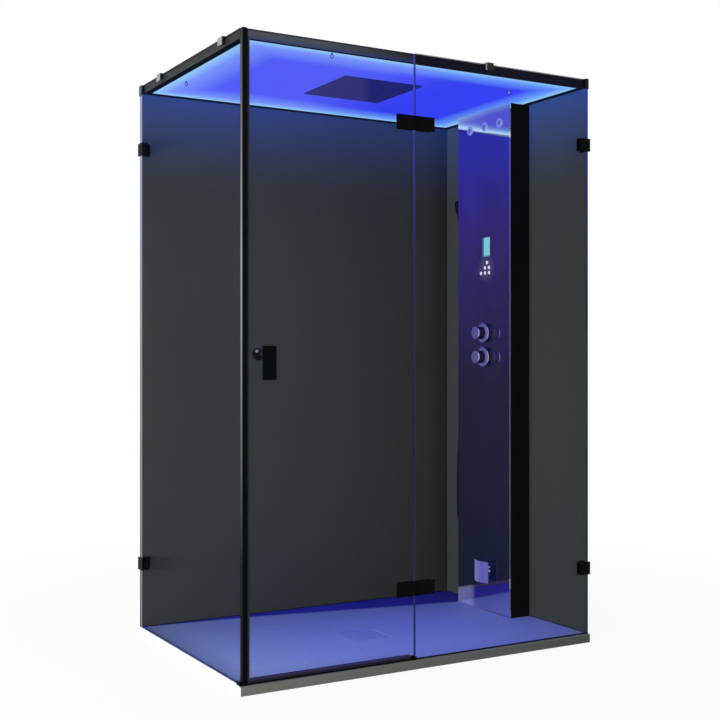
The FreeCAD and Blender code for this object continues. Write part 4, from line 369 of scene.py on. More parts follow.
def black_anodised():
    """Black anodised extrusion with faint lines along its length.

    Painted light and shade: the roof frame's left faces are paler, the post's foot is darker, and an emission
    sheen lies on the front rail, bluer along its lower edge.
    """
    g = Graph("black_anodised")
    place = g.place()
    facing = g.facing()
    lines = g.noise(1.0, 3.0, g.stretched((900.0, 900.0, 6.0)))
    tone = g.shades(lines, (0.0012, 0.0011, 0.0015), (0.0022, 0.0020, 0.0028))
    # painted light: paler faces that look left on the roof frame
    leftward = g.turned(facing["X"])
    high = g.range(place["Z"], ROOF_FRAME_LOW, ROOF_FRAME_LOW + 0.01)
    tone = g.mix(g.math("MULTIPLY", leftward, high), tone, (0.019, 0.020, 0.021))
    # painted shade: darker downward from 1.5 m, on the post's foot and the threshold strip
    low = g.range(place["Z"], *POST_PAINTED_SHADE, 0.75, 0.0)
    tone = g.mix(low, tone, (0.0003, 0.0003, 0.0006))
    # painted sheen on the front rail as emission, fading to the right, with painted blue light along its
    # lower edge
    sheen = g.mix(g.range(place["X"], -0.45, 0.0), (0.068, 0.072, 0.090), (0.007, 0.007, 0.010))
    painted_lower_edge_light = g.range(place["Z"], RAIL_BOTTOM, RAIL_BOTTOM + 0.016, 0.8, 0.0)
    sheen = g.mix(painted_lower_edge_light, sheen, (0.022, 0.036, 0.16))
    forward = g.turned(facing["Y"])
    on_rail = g.math("MULTIPLY", high, g.before(place["Y"], RAIL_FRONT_Y + 0.001))
    on_rail = g.math("MULTIPLY", on_rail, g.past(place["X"], POST_RIGHT + 0.0005))
    sheen = g.mix(g.math("MULTIPLY", forward, on_rail), (0.0, 0.0, 0.0), sheen)
    return g.finish(
        g.principled(
            tone,
            g.vary(lines, 0.3, 0.42),
            Specular_IOR_Level=0.04,
            Normal=g.bump(lines, 0.08, 0.0002),
            Emission_Color=sheen,
            Emission_Strength=1.0,
        )
    )


def wall_board():
    """Dark grey satin board with painted light: the lit roof's blue is painted on as emission and dies away
    down its upper part, and the grey is painted lighter in some places and darker in others as light and
    shade.
    """
    g = Graph("wall_board")
    place = g.place()
    glow = g.math("POWER", g.range(place["Z"], WALL_GLOW_FOOT, LIT_ROOF_Z), 1.7)
    cloud = g.noise(2.2, 2.0)
    wave = g.noise(9.0, 2.0)
    across = g.range(place["X"], -0.35, 0.45)
    side = g.past(place["X"], WALL_X - 0.001)
    # painted light and shade in the grey: paler at the left of the back wall, and on the side wall darker in
    # front of the column than behind it
    along = g.range(place["X"], -0.70, 0.60)
    tone = g.mix(along, (0.0392, 0.0440, 0.0405), (0.0325, 0.0330, 0.0285))
    behind = g.range(place["Y"], *BEHIND_COLUMN)
    tone = g.mix(side, tone, g.mix(behind, (0.0271, 0.0310, 0.0284), (0.037, 0.0395, 0.0365)))
    tone = g.mix(g.vary(cloud, 0.0, 0.06), tone, (0.040, 0.041, 0.043))
    # painted glow of the lit roof, as emission on the inner faces: strongest at the left of the back wall and
    # in front of the column
    strongest_painted_glow = g.mix(across, (0.0, 0.024, 0.200), (0.0, 0.014, 0.110))
    strongest_painted_glow = g.mix(side, strongest_painted_glow, g.mix(behind, (0.0, 0.030, 0.220), (0.0, 0.020, 0.120)))
    facing = g.facing()
    inside = g.math("MAXIMUM", g.turned(facing["Y"]), g.turned(facing["X"]))
    lit = g.mix(g.math("MULTIPLY", glow, inside), (0.0, 0.0, 0.0), strongest_painted_glow)
    return g.finish(
        g.principled(
            tone,
            0.42,
            Specular_IOR_Level=0.05,
            Normal=g.bump(wave, 0.02, 0.001),
            Emission_Color=lit,
            Emission_Strength=1.0,
        )
    )


def tray_stone():
    """Cast stone with a fine slate texture, painted blue inside the glass for the roof's light, over a skirt
    painted grey as shade, with a brushed grain.

    The painted blue falls off to the back and to the left as painted shade. A wedge along the back wall is
    painted deeper as shadow.
    """
    g = Graph("tray_stone")
    place = g.place()
    facing = g.facing()
    slate = g.noise(26.0, 6.0, g.stretched((1.0, 1.7, 1.0)), 0.65)
    grit = g.noise(420.0, 3.0)
    vein = g.range(slate, 0.35, 0.65)
    white = g.mix(vein, (0.78, 0.79, 0.80), (0.84, 0.845, 0.85))
    # painted light: inside the glass the stone is painted blue for the roof's light, darker to the right
    near = g.mix(vein, (0.265, 0.345, 0.56), (0.295, 0.375, 0.60))
    far = g.mix(vein, (0.215, 0.265, 0.53), (0.235, 0.290, 0.57))
    inner = g.mix(g.range(place["X"], -0.65, 0.62), near, far)
    # painted shade: the blue darkens to the back and at the left end
    painted_shade_to_back = g.range(place["Y"], -0.30, 0.30, 1.0, 0.66)
    from_left = g.range(place["X"], -0.72, -0.62, 0.80, 1.0)
    inner = g.mix(g.math("MULTIPLY", painted_shade_to_back, from_left), (0.0, 0.0, 0.0), inner)
    # painted shadow: a deep blue wedge along the back wall
    back_line = g.math("ADD", place["Y"], g.math("MULTIPLY", place["X"], WEDGE_BACK_SLOPE))
    corner_line = g.math("ADD", place["Y"], g.math("MULTIPLY", place["X"], WEDGE_CORNER_SLOPE))
    wedge = g.math("MAXIMUM", g.range(back_line, *WEDGE_BACK), g.range(corner_line, *WEDGE_CORNER))
    painted_deep_blue = g.mix(g.range(place["X"], -0.3, 0.6), (0.022, 0.026, 0.27), (0.017, 0.018, 0.21))
    inner = g.mix(wedge, inner, painted_deep_blue)
    # white stone outside the left pane; in front of the front pane the top is painted grey as shade, like the
    # skirt front
    surface = g.mix(g.past(place["X"], LEFT_PANE_X), white, inner)
    surface = g.mix(g.past(place["Y"], FRONT_PANE_Y), (0.125, 0.130, 0.118), surface)
    height = g.math("ADD", g.math("MULTIPLY", slate, 0.8), g.math("MULTIPLY", grit, 0.2))
    top = g.principled(surface, 0.45, Specular_IOR_Level=0.1, Normal=g.bump(height, 0.12, 0.001))
    # skirt: painted shade makes its front grey with a brushed grain, darker to the right as painted shadow;
    # faces that look left are pale as painted light
    brushed = g.noise(1.0, 3.0, g.stretched((3.0, 3.0, 900.0)))
    painted_shadow = g.range(place["X"], -0.75, 0.75, 1.0, 0.50)
    grey = g.math("MULTIPLY", g.vary(brushed, 0.135, 0.165), painted_shadow)
    steel = g.mix(grey, (0.0, 0.0, 0.0), (1.0, 1.02, 0.87))
    steel = g.mix(g.turned(facing["X"]), steel, (0.42, 0.42, 0.42))
    skirt = g.principled(steel, 0.45, Specular_IOR_Level=0.1)
    upward = g.math("ABSOLUTE", facing["Z"])
    return g.finish(g.blend(g.range(upward, 0.2, 0.5), skirt, top))


def drain_steel():
    """Brushed drain cover, painted blue for the roof's light as the tray round it is."""
    g = Graph("drain_steel")
    lines = g.noise(1.0, 2.0, g.stretched((4.0, 700.0, 4.0)))
    tone = g.shades(lines, (0.180, 0.220, 0.44), (0.215, 0.260, 0.50))
    return g.finish(g.principled(tone, g.vary(lines, 0.35, 0.5), Specular_IOR_Level=0.15))


def pane(name, thin, glow_color, tint, front_end=False):
    """Thin clear glass: see-through, reflecting only at low angles, with painted light (emission) on its
    edges and a faint painted haze over its faces.

    thin is the axis across the pane. With front_end, its ends at the front and the back get painted light of
    their own.
    """
    g = Graph(name)
    place = g.place()
    facing = g.facing()
    clear = g.node("ShaderNodeBsdfTransparent")
    g.put(clear.inputs["Color"], tint)
    gloss = g.node("ShaderNodeBsdfGlossy")
    g.put(gloss.inputs["Color"], (0.9, 0.93, 1.0))
    streak = g.noise(1.6, 3.0, g.stretched((1.0, 1.0, 0.35)))
    g.put(gloss.inputs["Roughness"], g.vary(streak, 0.01, 0.05))
    slope = g.node("ShaderNodeLayerWeight")
    slope.inputs["Blend"].default_value = 0.5
    # painted haze: a faint glow of emission over the faces
    haze = g.node("ShaderNodeAddShader")
    g.link(clear.outputs[0], haze.inputs[0])
    g.link(g.emission((0.9, 0.95, 1.0), g.vary(streak, 0.0005, 0.0015)), haze.inputs[1])
    share = g.range(slope.outputs["Facing"], GLOSS_STARTS, 1.0, 0.0, GLOSS_AT_GRAZING)
    face = g.blend(share, haze.outputs[0], gloss.outputs[0])
    # painted light as emission on the upright edges; the edges that look up and down stay dark
    upright = g.range(g.math("ABSOLUTE", facing["Z"]), 0.45, 0.55, 1.0, 0.0)
    glow = g.mix(upright, (0.004, 0.004, 0.006), glow_color(g, place))
    if front_end:
        # painted light on the ends: the back end glows brighter and bluer upward, the front end grey,
        # strongest at two thirds of its height
        height = g.range(place["Z"], 0.0, CABIN_TOP)
        back_end = g.ramp(
            height,
            (0.1, (0.07, 0.07, 0.11)),
            (0.6, (0.20, 0.20, 0.32)),
            (0.9, (0.26, 0.26, 0.55)),
        )
        back_end = g.mix(upright, (0.20, 0.23, 0.45), back_end)
        glow = g.mix(g.range(place["Y"], 0.48, 0.49), glow, back_end)
        grey = g.ramp(height, (0.20, 0.008), (0.66, 0.34), (1.0, 0.06))
        glow = g.mix(g.before(place["Y"], FRONT_PANE_Y + 0.0015), glow, grey)
    rim = g.principled(
        (0.004, 0.004, 0.006),
        0.2,
        Emission_Color=glow,
        Emission_Strength=1.0,
        Specular_IOR_Level=0.1,
    )
    across = g.math("ABSOLUTE", facing[thin])
    return g.finish(g.blend(g.range(across, 0.45, 0.55), rim, face))


def even_glow(g, place):
    """Painted edge light at the walls: violet under the roof, nearly grey below."""
    return g.ramp(
        g.range(place["Z"], 0.0, CABIN_TOP),
        (0.05, (0.040, 0.044, 0.090)),
        (0.60, (0.022, 0.025, 0.080)),
        (0.95, (0.050, 0.062, 0.60)),
    )


def split_glow(g, place):
    """Painted edge light at the split of the front: pale above, nearly dark below."""
    return g.ramp(
        g.range(place["Z"], 0.0, CABIN_TOP),
        (0.05, (0.030, 0.036, 0.120)),
        (0.35, (0.010, 0.010, 0.022)),
        (0.68, (0.028, 0.032, 0.100)),
        (0.95, (0.070, 0.080, 0.600)),
    )


def fixed_glow(g, place):
    """Painted edge light of the fixed pane: darker at the split, even at the wall."""
    split = g.ramp(
        g.range(place["Z"], 0.0, CABIN_TOP),
        (0.0, (0.01, 0.01, 0.06)),
        (0.5, (0.007, 0.006, 0.016)),
        (1.0, (0.01, 0.015, 0.50)),
    )
    return g.mix(g.range(place["X"], 0.0, 0.1), split, even_glow(g, place))


def roof_board():
    g = Graph("roof_board")
    grain = g.noise(500.0, 3.0)
    tone = g.shades(g.noise(8.0, 4.0), (0.010, 0.010, 0.012), (0.018, 0.018, 0.021))
    return g.finish(g.principled(tone, 0.55, Normal=g.bump(grain, 0.2, 0.0003), Specular_IOR_Level=0.3))


def light_panel():
    """Opal sheet lit from its edges: cyan white along the rim, blue inside, deeper towards the column and
    paler over its left part as a painted reflection.
    """
    g = Graph("light_panel")
    place = g.place()
    from_left = g.math("SUBTRACT", place["X"], LIGHT_LOW[0])
    from_right = g.math("SUBTRACT", LIGHT_HIGH[0], place["X"])
    from_front = g.math("SUBTRACT", place["Y"], LIGHT_LOW[1])
    from_back = g.math("SUBTRACT", LIGHT_HIGH[1], place["Y"])
    from_side = g.math("MINIMUM", from_left, from_right)
    inward = g.math("SMOOTH_MIN", from_side, g.math("MINIMUM", from_front, from_back))
    inward.node.inputs[2].default_value = LIGHT_ROUNDING
    share = g.math("DIVIDE", inward, LIGHT_REACH)
    paler = g.ramp(
        share,
        (0.06, (0.30, 0.59, 0.96)),
        (0.26, (0.19, 0.30, 0.98)),
        (0.80, (0.085, 0.112, 0.95)),
    )
    deeper = g.ramp(
        share,
        (0.06, (0.26, 0.56, 0.97)),
        (0.24, (0.13, 0.31, 0.96)),
        (0.65, (0.036, 0.052, 0.92)),
    )
    # painted reflection: paler over the left part of the panel
    color = g.mix(g.range(place["X"], -0.2, 0.3, smooth=True), paler, deeper)
    uneven = g.vary(g.noise(3.0, 2.0), 0.95, 1.03)
    sheet = g.principled(
        (0.004, 0.004, 0.008),
        0.5,
        Specular_IOR_Level=0.0,
        Emission_Color=color,
        Emission_Strength=uneven,
    )
    return g.finish(sheet)


def rain_plate():
    """Dark dimpled plate with the blue of the lit sheet round it painted on as emission."""
    g = Graph("rain_plate")
    place = g.place()
    dust = g.noise(120.0, 4.0)
    tone = g.ramp(dust, (0.3, (0.004, 0.004, 0.010)), (0.75, (0.007, 0.007, 0.014)))
    painted_deep_blue = g.ramp(dust, (0.3, (0.006, 0.008, 0.140)), (0.75, (0.012, 0.014, 0.190)))
    pale = g.ramp(dust, (0.3, (0.026, 0.028, 0.160)), (0.75, (0.034, 0.036, 0.220)))
    # painted reflection: the painted light is paler left of a slanting line
    lean = g.math("SUBTRACT", place["X"], g.math("MULTIPLY", place["Y"], RAIN_LIGHT_SLOPE))
    lit = g.mix(g.range(lean, -0.02, 0.06, smooth=True), pale, painted_deep_blue)
    # painted shade in a grid of dimples: the painted light is weaker there
    turns = 2.0 * math.pi / RAIN_DIMPLE_PITCH
    dimple_x = g.math("SINE", g.math("MULTIPLY", place["X"], turns))
    dimple_y = g.math("SINE", g.math("MULTIPLY", place["Y"], turns))
    dimple = g.range(g.math("MULTIPLY", dimple_x, dimple_y), -0.3, 0.3, 0.35, 0.0)
    lit = g.mix(dimple, lit, (0.004, 0.005, 0.06))
    return g.finish(
        g.principled(
            tone,
            0.5,
            Emission_Color=lit,
            Emission_Strength=1.0,
            Specular_IOR_Level=0.03,
        )
    )


def drop_cap():
    """Dark glossy drop with a small bright middle, a painted highlight as emission."""
    g = Graph("drop_cap")
    weight = g.node("ShaderNodeLayerWeight")
    weight.inputs["Blend"].default_value = 0.5
    # painted highlight: emission on the middle of the drop
    middle = g.range(weight.outputs["Facing"], 0.10, 0.30, 1.0, 0.0)
    uneven = g.vary(g.noise(200.0, 2.0), 0.8, 1.2)
    lit = g.mix(middle, (0.010, 0.012, 0.09), (0.20, 0.24, 0.80))
    return g.finish(g.principled((0.01, 0.01, 0.03), 0.15, Emission_Color=lit, Emission_Strength=uneven))


def glowing(name, color, strength, spread=0.12):
    """A lit plastic part with a slightly uneven glow."""
    g = Graph(name)
    uneven = g.vary(g.noise(300.0, 2.0), strength * (1 - spread), strength * (1 + spread))
    body = tuple(channel * 0.05 for channel in color)
    return g.finish(
        g.principled(
            body,
            0.4,
            Emission_Color=color,
            Emission_Strength=uneven,
            Specular_IOR_Level=0.1,
        )
    )


def chrome():
    g = Graph("chrome")
    smudge = g.noise(40.0, 5.0)
    rough = g.range(smudge, 0.35, 0.75, 0.03, 0.10)
    tone = g.shades(smudge, (0.72, 0.73, 0.76), (0.82, 0.83, 0.86))
    return g.finish(g.principled(tone, rough, Metallic=1.0))


def knob_chrome():
    """Dark chrome of the valve knobs: painted lavender light (emission) on the paler ends, and a bright ring
    at each end of the side as a painted highlight.
    """
    g = Graph("knob_chrome")
    place = g.place()
    facing = g.facing()
    smudge = g.noise(60.0, 4.0)
    end = g.range(facing["X"], -0.85, -0.60, 1.0, 0.0)
    # painted highlights: a bright ring at each end of the side
    outer_ring = g.before(place["X"], KNOB_OUTER_RING, 0.002)
    ring_start = g.past(place["X"], KNOB_INNER_RING[0], 0.0015)
    ring_end = g.before(place["X"], KNOB_INNER_RING[1], 0.0015)
    ring = g.math("MAXIMUM", outer_ring, g.math("MINIMUM", ring_start, ring_end))
    tone = g.mix(ring, (0.035, 0.035, 0.050), (0.62, 0.62, 0.72))
    # painted light: paler ends with lavender emission
    tone = g.mix(end, tone, (0.10, 0.10, 0.16))
    violet = g.shades(smudge, (0.090, 0.085, 0.31), (0.130, 0.125, 0.40))
    lit = g.mix(end, (0.0, 0.0, 0.0), violet)
    rough = g.vary(smudge, 0.08, 0.16)
    return g.finish(g.principled(tone, rough, Metallic=1.0, Emission_Color=lit, Emission_Strength=0.8))


def jet_metal(name, dark_middle):
    """Dark metal of the jets with pale lavender light painted on as emission; the ball is dark round its
    bore.
    """
    g = Graph(name)
    facing = g.facing()
    smudge = g.noise(150.0, 3.0)
    # painted light: pale lavender emission
    lit = g.shades(smudge, (0.16, 0.18, 0.56), (0.24, 0.26, 0.70))
    if dark_middle:
        lit = g.mix(g.range(facing["X"], -0.90, -0.80, 1.0, 0.0), lit, (0.006, 0.009, 0.12))
    rough = g.vary(smudge, 0.15, 0.25)
    return g.finish(
        g.principled(
            (0.10, 0.10, 0.14),
            rough,
            Metallic=1.0,
            Emission_Color=lit,
            Emission_Strength=1.0,
        )
    )


def shield_metal():
    """Satin steam shield with a painted reflection from violet to pale towards its far side."""
    g = Graph("shield_metal")
    place = g.place()
    lines = g.noise(1.0, 3.0, g.stretched((8.0, 500.0, 8.0)))
    # painted reflection: from violet to pale across the shield
    across = g.range(place["Y"], 0.03, SHIELD_FAR_Y)
    tone = g.mix(across, (0.075, 0.074, 0.26), (0.190, 0.205, 0.33))
    rough = g.vary(lines, 0.32, 0.45)
    return g.finish(g.principled(tone, rough, Specular_IOR_Level=0.3, Normal=g.bump(lines, 0.1, 0.0002)))


def brushed_steel():
    g = Graph("brushed_steel")
    lines = g.noise(1.0, 3.0, g.stretched((500.0, 500.0, 8.0)))
    tone = g.shades(lines, (0.42, 0.42, 0.44), (0.58, 0.58, 0.60))
    return g.finish(g.principled(tone, g.vary(lines, 0.25, 0.4), Metallic=1.0))


def clip_metal():
    """Grey clips over the glass, pale on the faces that look left as painted light; those at the corners are
    black, the back ones with a little painted light on their left faces.
    """
    g = Graph("clip_metal")
    place = g.place()
    facing = g.facing()
    grain = g.noise(400.0, 3.0)
    dark = g.shades(grain, (0.012, 0.0116, 0.0112), (0.018, 0.0174, 0.0168))
    pale = g.shades(grain, (0.14, 0.14, 0.14), (0.19, 0.19, 0.19))
    # painted light on the faces that look left
    leftward = g.range(facing["X"], -0.8, -0.4, 1.0, 0.0)
    tone = g.mix(leftward, dark, pale)
    at_right = g.past(place["X"], RIGHT_CLIP_X, 0.01)
    at_back = g.past(place["Y"], BACK_CLIP_Y, 0.01)
    # a little painted light on the left faces of the back corner clips
    left_corner = g.math("MULTIPLY", leftward, at_back)
    corner = g.mix(left_corner, (0.0015, 0.0015, 0.002), (0.035, 0.043, 0.045))
    tone = g.mix(g.math("MAXIMUM", at_right, at_back), tone, corner)
    return g.finish(g.principled(tone, 0.38, Specular_IOR_Level=0.15, Normal=g.bump(grain, 0.1, 0.0002)))


def cast_brass():
    g = Graph("cast_brass")
    sand = g.noise(600.0, 4.0)
    tone = g.shades(g.noise(30.0, 4.0), (0.42, 0.29, 0.10), (0.58, 0.43, 0.18))
    return g.finish(g.principled(tone, 0.42, Metallic=1.0, Normal=g.bump(sand, 0.3, 0.0004)))


def dark_mirror():
    """Dark violet mirror glass with painted reflections and a thin painted haze (emission) that is bluer near
    the lit roof.
    """
    g = Graph("dark_mirror")
    place = g.place()
    # painted haze as emission, bluer near the lit roof
    haze = g.ramp(
        g.range(place["Z"], 0.035, LIT_ROOF_Z),
        (0.07, (0.001, 0.003, 0.015)),
        (0.45, (0.005, 0.005, 0.024)),
        (0.72, (0.023, 0.011, 0.115)),
        (0.92, (0.015, 0.014, 0.280)),
    )
    cloud = g.noise(5.0, 3.0, g.stretched((1.0, 1.0, 0.35)))
    strength = g.vary(cloud, 0.75, 1.2)
    # painted reflection: the mirror's colour turns more violet upward
    tint = g.mix(g.range(place["Z"], 0.2, 2.0), (0.30, 0.30, 0.42), (0.36, 0.30, 0.60))
    # painted reflections: the mirror is clearer where it shows the tray floor and the lit roof, with painted
    # haze there
    slant = g.math("MULTIPLY", place["Y"], REFLECTED_SLOPE)
    floor_line = g.before(g.math("ADD", place["Z"], slant), REFLECTED_FLOOR, 0.010)
    roof_line = g.past(g.math("SUBTRACT", place["Z"], slant), REFLECTED_ROOF, 0.012)
    tint = g.mix(floor_line, tint, (0.85, 0.85, 0.80))
    tint = g.mix(roof_line, tint, (0.95, 0.90, 0.70))
    painted_veil = g.mix(g.range(place["Y"], 0.05, 0.25), (0.050, 0.040, 0.0), (0.130, 0.140, 0.03))
    band = g.before(g.math("SUBTRACT", place["Z"], slant), REFLECTED_RIM, 0.020)
    haze = g.mix(roof_line, haze, g.mix(band, painted_veil, (0.30, 0.32, 0.40)))
    pale = g.range(place["Y"], 0.12, 0.16)
    haze = g.mix(floor_line, haze, g.mix(pale, (0.008, 0.004, 0.060), (0.110, 0.108, 0.20)))
    # painted light: a halo where the lit buttons would shine on the glass round them
    from_middle = g.math("POWER", g.math("SUBTRACT", place["Y"], BUTTONS_MIDDLE[0]), 2.0)
    from_row = g.math("POWER", g.math("SUBTRACT", place["Z"], BUTTONS_MIDDLE[1]), 2.0)
    distance = g.math("ADD", from_middle, from_row)
    painted_halo = g.range(distance, 0.0, BUTTONS_HALO_SQUARED, 0.8, 0.0, smooth=True)
    haze = g.mix(painted_halo, haze, (0.075, 0.055, 0.150))
    return g.finish(g.principled(tint, 0.04, Metallic=1.0, Emission_Color=haze, Emission_Strength=strength))


def column_black():
    """Black sheet metal that reflects very little, with a thin painted lavender line of light (emission)
    along the lip at its foot.
    """
    g = Graph("column_black")
    place = g.place()
    peel = g.noise(300.0, 2.0)
    tone = g.shades(g.noise(12.0, 3.0), (0.0011, 0.0010, 0.0018), (0.0017, 0.0015, 0.0028))
    low = g.before(place["Z"], COLUMN_FOOT)
    front = g.before(place["X"], COLUMN_LIP_X)
    # painted light: a lavender line along the lip at the foot
    lavender = g.mix(g.range(place["Y"], 0.0, 0.22), (0.055, 0.070, 0.30), (0.100, 0.110, 0.38))
    line = g.mix(g.math("MULTIPLY", low, front), (0.0, 0.0, 0.0), lavender)
    return g.finish(
        g.principled(
            tone,
            0.4,
            Specular_IOR_Level=0.015,
            Normal=g.bump(peel, 0.03, 0.0003),
            Emission_Color=line,
            Emission_Strength=1.0,
        )
    )


def soft_black(name, low, high):
    g = Graph(name)
    dust = g.noise(250.0, 4.0)
    tone = g.ramp(dust, (0.3, low), (0.75, high))
    return g.finish(g.principled(tone, 0.6, Specular_IOR_Level=0.25, Normal=g.bump(dust, 0.15, 0.0003)))


def seal_strip():
    """Flexible strip: painted pale blue under the left pane as light catching it, black elsewhere."""
    g = Graph("seal_strip")
    place = g.place()
    ripple = g.noise(1.0, 2.0, g.stretched((8.0, 8.0, 300.0)))
    dark = g.shades(ripple, (0.003, 0.003, 0.008), (0.006, 0.006, 0.016))
    pale = g.shades(ripple, (0.20, 0.23, 0.42), (0.26, 0.29, 0.50))
    # painted light: pale under the left pane
    tone = g.mix(g.before(place["X"], LEFT_SEAL_END), dark, pale)
    return g.finish(g.principled(tone, 0.5, Specular_IOR_Level=0.05))


def door_seal():
    """Dark sweep under the door, painted violet along its upper edge as light shining there."""
    g = Graph("door_seal")
    place = g.place()
    height = g.range(place["Z"], DOOR_SEAL_BOTTOM, DOOR_SEAL_BOTTOM + 0.015)
    # painted light: violet towards the upper edge
    tone = g.ramp(height, (0.25, (0.005, 0.005, 0.008)), (0.9, (0.030, 0.026, 0.09)))
    rib = g.noise(1.0, 1.0, g.stretched((2.0, 2.0, 900.0)))
    return g.finish(g.principled(tone, 0.4, Normal=g.bump(rib, 0.3, 0.0003), Specular_IOR_Level=0.1))


def circuit_board():
    g = Graph("circuit_board")
    cells = g.node("ShaderNodeTexVoronoi", feature="DISTANCE_TO_EDGE")
    cells.inputs["Scale"].default_value = 160.0
    g.link(g.coordinates.outputs["Object"], cells.inputs["Vector"])
    tone = g.ramp(cells.outputs[0], (0.02, (0.20, 0.16, 0.05)), (0.06, (0.010, 0.07, 0.025)))
    return g.finish(g.principled(tone, 0.4))


def lit_display():
    """A slightly uneven cyan panel with a darker strip at its left, no signs on it."""
    g = Graph("lit_display")
    place = g.place()
    facing = g.facing()
    tone = g.ramp(
        g.range(place["Z"], DISPLAY_BOTTOM, DISPLAY_TOP),
        (0.0, (0.040, 0.14, 0.19)),
        (0.08, (0.20, 0.54, 0.66)),
        (0.96, (0.23, 0.60, 0.70)),
    )
    tone = g.mix(g.range(g.noise(90.0, 2.0), 0.35, 0.65, 0.0, 0.25), tone, (0.15, 0.44, 0.56))
    strip = g.past(place["Y"], DISPLAY_STRIP_Y, 0.002)
    tone = g.mix(strip, tone, (0.035, 0.105, 0.22))
    glow = g.principled(
        (0.01, 0.02, 0.03),
        0.2,
        Emission_Color=tone,
        Emission_Strength=1.0,
        Specular_IOR_Level=0.1,
    )
    case = g.principled((0.01, 0.01, 0.012), 0.4)
    return g.finish(g.blend(g.turned(facing["X"]), case, glow))


def hose_skin():
    g = Graph("hose_skin")
    rings = g.node("ShaderNodeTexWave", bands_direction="Z")
    rings.inputs["Scale"].default_value = 130.0
    rings.inputs["Distortion"].default_value = 0.4
    g.link(g.coordinates.outputs["Object"], rings.inputs["Vector"])
    tone = g.ramp(rings.outputs[0], (0.2, (0.002, 0.002, 0.004)), (0.8, (0.007, 0.007, 0.011)))
    ribs = g.bump(rings.outputs[0], 0.4, 0.0006)
    return g.finish(g.principled(tone, 0.3, Specular_IOR_Level=0.1, Normal=ribs))


def paint(material, *names):
    for name in names:
        slots = NODES[name].data.materials
        slots.clear()
        slots.append(material)


def paint_all():
    coat = black_coat()
    anodised = black_anodised()
    shine = chrome()
    steel = brushed_steel()
    brass = cast_brass()
    rubber = soft_black("dark_rubber", (0.004, 0.004, 0.006), (0.012, 0.012, 0.016))
    paint(coat, "sill_blocks", "wall_clamps", "hinge_fixed_leaves", "hinge_door_leaves", "handle_plate")
    paint(coat, "fixing_screws", "door_screws")
    paint(knob_black(), "inner_door_knob")
    paint(anodised, "corner_post", "threshold_strip", "long_roof_rails", "short_roof_rails")
    paint(tray_stone(), "tray")
    paint(drain_steel(), "drain_cover")
    paint(wall_board(), "back_wall_panel", "right_wall_panel")
    tint = (0.97, 0.975, 0.985)
    paint(pane("pane_side", "X", even_glow, tint, front_end=True), "left_glass_panel")
    paint(pane("pane_front", "Y", fixed_glow, tint), "fixed_glass_panel")
    paint(pane("pane_door", "Y", split_glow, tint), "door_glass")
    paint(seal_strip(), "panel_seals")
    paint(rubber, "door_magnet_strip")
    paint(door_seal(), "door_seals")
    paint(roof_board(), "roof_cover_panel")
    paint(light_panel(), "ceiling_diffuser")
    paint(glowing("led_light", (0.45, 0.78, 1.0), 1.0), "led_strips")
    paint(drop_cap(), "ceiling_fixings")
    paint(rain_plate(), "rain_head_plate")
    # painted light: the nozzle mat glows blue though it is no lamp
    paint(glowing("nozzle_mat", (0.055, 0.06, 0.34), 0.9), "rain_head_nozzle_mat")
    paint(steel, "rain_head_chamber", "drain_flange", "hinge_pins")
    paint(steel, "internal_pipes", "steam_generator_tank", "heating_element")
    paint(clip_metal(), "roof_clips")
    paint(column_black(), "column_housing")
    paint(dark_mirror(), "column_mirror_panel")
    paint(lit_display(), "display_screen")
    paint(circuit_board(), "control_board")
    button = glowing("lit_button", (0.72, 0.70, 0.88), 0.9)
    paint(button, "button_power", "button_steam", "button_light")
    paint(button, "button_minus", "button_timer", "button_plus")
    paint(knob_chrome(), "valve_escutcheons", "diverter_knob", "temperature_knob")
    paint(jet_metal("jet_bezel", False), "jet_housings")
    paint(jet_metal("jet_ball", True), "jet_ball_near", "jet_ball_middle", "jet_ball_far")
    paint(shine, "steam_outlet_nozzle", "hose_outlet_elbow")
    paint(shield_metal(), "steam_outlet_shield")
    paint(black_gloss(), "hand_shower", "hand_shower_holder")
    paint(brass, "valve_manifold", "inlet_fittings")
    HOSE.data.materials.append(hose_skin())


paint_all()


# ---------------------------------------------------------------- studio
FLOOR_HALF = 14.0
FLOOR_FADE = (1.0, 3.2)
FLOOR_WHITE_NEAR = 0.93
SKY_RIGHT = 0.18
SKY_LEFT = 0.80


def make_floor():
    mesh = bpy.data.meshes.new("floor")
    corners = ((-1, -1), (1, -1), (1, 1), (-1, 1))
    mesh.from_pydata([(x * FLOOR_HALF, y * FLOOR_HALF, 0.0) for x, y in corners], [], [(0, 1, 2, 3)])
    floor = bpy.data.objects.new("floor", mesh)
    bpy.context.scene.collection.objects.link(floor)
    floor.location.z = min(0.0, CAD_BOX[0][2])
    g = Graph("floor")
    speck = g.noise(60.0, 4.0)
    tone = g.shades(speck, (0.78, 0.78, 0.78), (0.81, 0.81, 0.81))
    matte = g.principled(tone, 0.8, Specular_IOR_Level=0.1)
    white = g.emission((1.0, 1.0, 1.0), 1.0)
    path = g.node("ShaderNodeLightPath")
    seen = g.math("MAXIMUM", path.outputs["Is Camera Ray"], path.outputs["Is Transmission Ray"])
    seen = g.math("MAXIMUM", seen, path.outputs["Is Glossy Ray"])
    distance = g.node("ShaderNodeVectorMath", operation="LENGTH")
    g.link(g.coordinates.outputs["Object"], distance.inputs[0])
    fade = g.range(distance.outputs["Value"], *FLOOR_FADE, FLOOR_WHITE_NEAR, 1.0, smooth=True)
    share = g.math("MULTIPLY", seen, fade)
    mesh.materials.append(g.finish(g.blend(share, matte, white)))


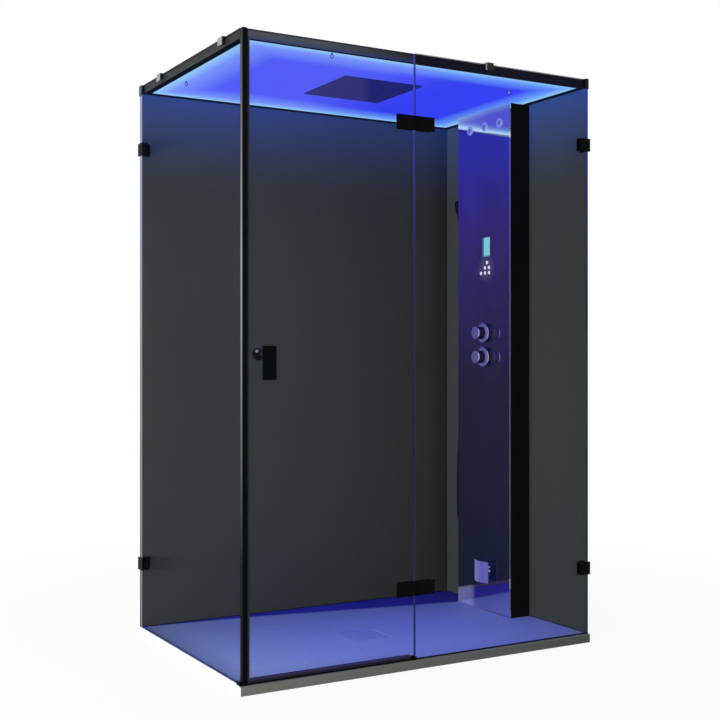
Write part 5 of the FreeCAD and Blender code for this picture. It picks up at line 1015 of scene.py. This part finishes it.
def make_world():
    world = bpy.data.worlds.new("studio")
    bpy.context.scene.world = world
    world.use_nodes = True
    tree = world.node_tree
    tree.nodes.clear()
    path = tree.nodes.new("ShaderNodeLightPath")
    coordinates = tree.nodes.new("ShaderNodeTexCoord")
    split = tree.nodes.new("ShaderNodeSeparateXYZ")
    tree.links.new(coordinates.outputs["Generated"], split.inputs[0])
    left = tree.nodes.new("ShaderNodeMapRange")
    left.inputs["From Min"].default_value = 0.2
    left.inputs["From Max"].default_value = -0.9
    left.inputs["To Min"].default_value = SKY_RIGHT
    left.inputs["To Max"].default_value = SKY_LEFT
    tree.links.new(split.outputs["X"], left.inputs["Value"])
    soft = tree.nodes.new("ShaderNodeBackground")
    soft.inputs["Color"].default_value = (0.95, 0.97, 1.0, 1.0)
    tree.links.new(left.outputs["Result"], soft.inputs["Strength"])
    white = tree.nodes.new("ShaderNodeBackground")
    white.inputs["Color"].default_value = (1.0, 1.0, 1.0, 1.0)
    white.inputs["Strength"].default_value = 1.0
    chosen = tree.nodes.new("ShaderNodeMixShader")
    seen = tree.nodes.new("ShaderNodeMath")
    seen.operation = "MAXIMUM"
    tree.links.new(path.outputs["Is Camera Ray"], seen.inputs[0])
    tree.links.new(path.outputs["Is Glossy Ray"], seen.inputs[1])
    tree.links.new(seen.outputs[0], chosen.inputs[0])
    tree.links.new(soft.outputs[0], chosen.inputs[1])
    tree.links.new(white.outputs[0], chosen.inputs[2])
    out = tree.nodes.new("ShaderNodeOutputWorld")
    tree.links.new(chosen.outputs[0], out.inputs["Surface"])


def area_light(name, place, target, size, power, color):
    data = bpy.data.lights.new(name, "AREA")
    data.shape = "RECTANGLE"
    data.size = size[0]
    data.size_y = size[1]
    data.energy = power
    data.color = color
    lamp = bpy.data.objects.new(name, data)
    bpy.context.scene.collection.objects.link(lamp)
    lamp.location = place
    lamp.rotation_euler = (Vector(target) - Vector(place)).to_track_quat("-Z", "Y").to_euler()
    lamp.visible_camera = False
    lamp.visible_glossy = False
    return lamp


def make_lights():
    area_light(
        "left_key",
        place=(-4.6, -0.3, 0.7),
        target=(0.0, 0.0, 0.7),
        size=(2.2, 1.2),
        power=300.0,
        color=(1.0, 0.99, 0.97),
    )
    area_light(
        "front_fill",
        place=(-0.8, -5.2, 1.0),
        target=(0.0, 0.0, 1.0),
        size=(3.0, 1.2),
        power=105.0,
        color=(1.0, 1.0, 1.0),
    )
    glow = area_light(
        "roof_glow",
        place=(0.0, 0.0, 2.14),
        target=(0.0, 0.0, 0.0),
        size=(1.2, 0.75),
        power=4.0,
        color=(0.05, 0.08, 1.0),
    )
    glow.data.spread = math.radians(60.0)


make_world()
make_floor()
make_lights()

bpy.context.scene.view_settings.view_transform = "Standard"
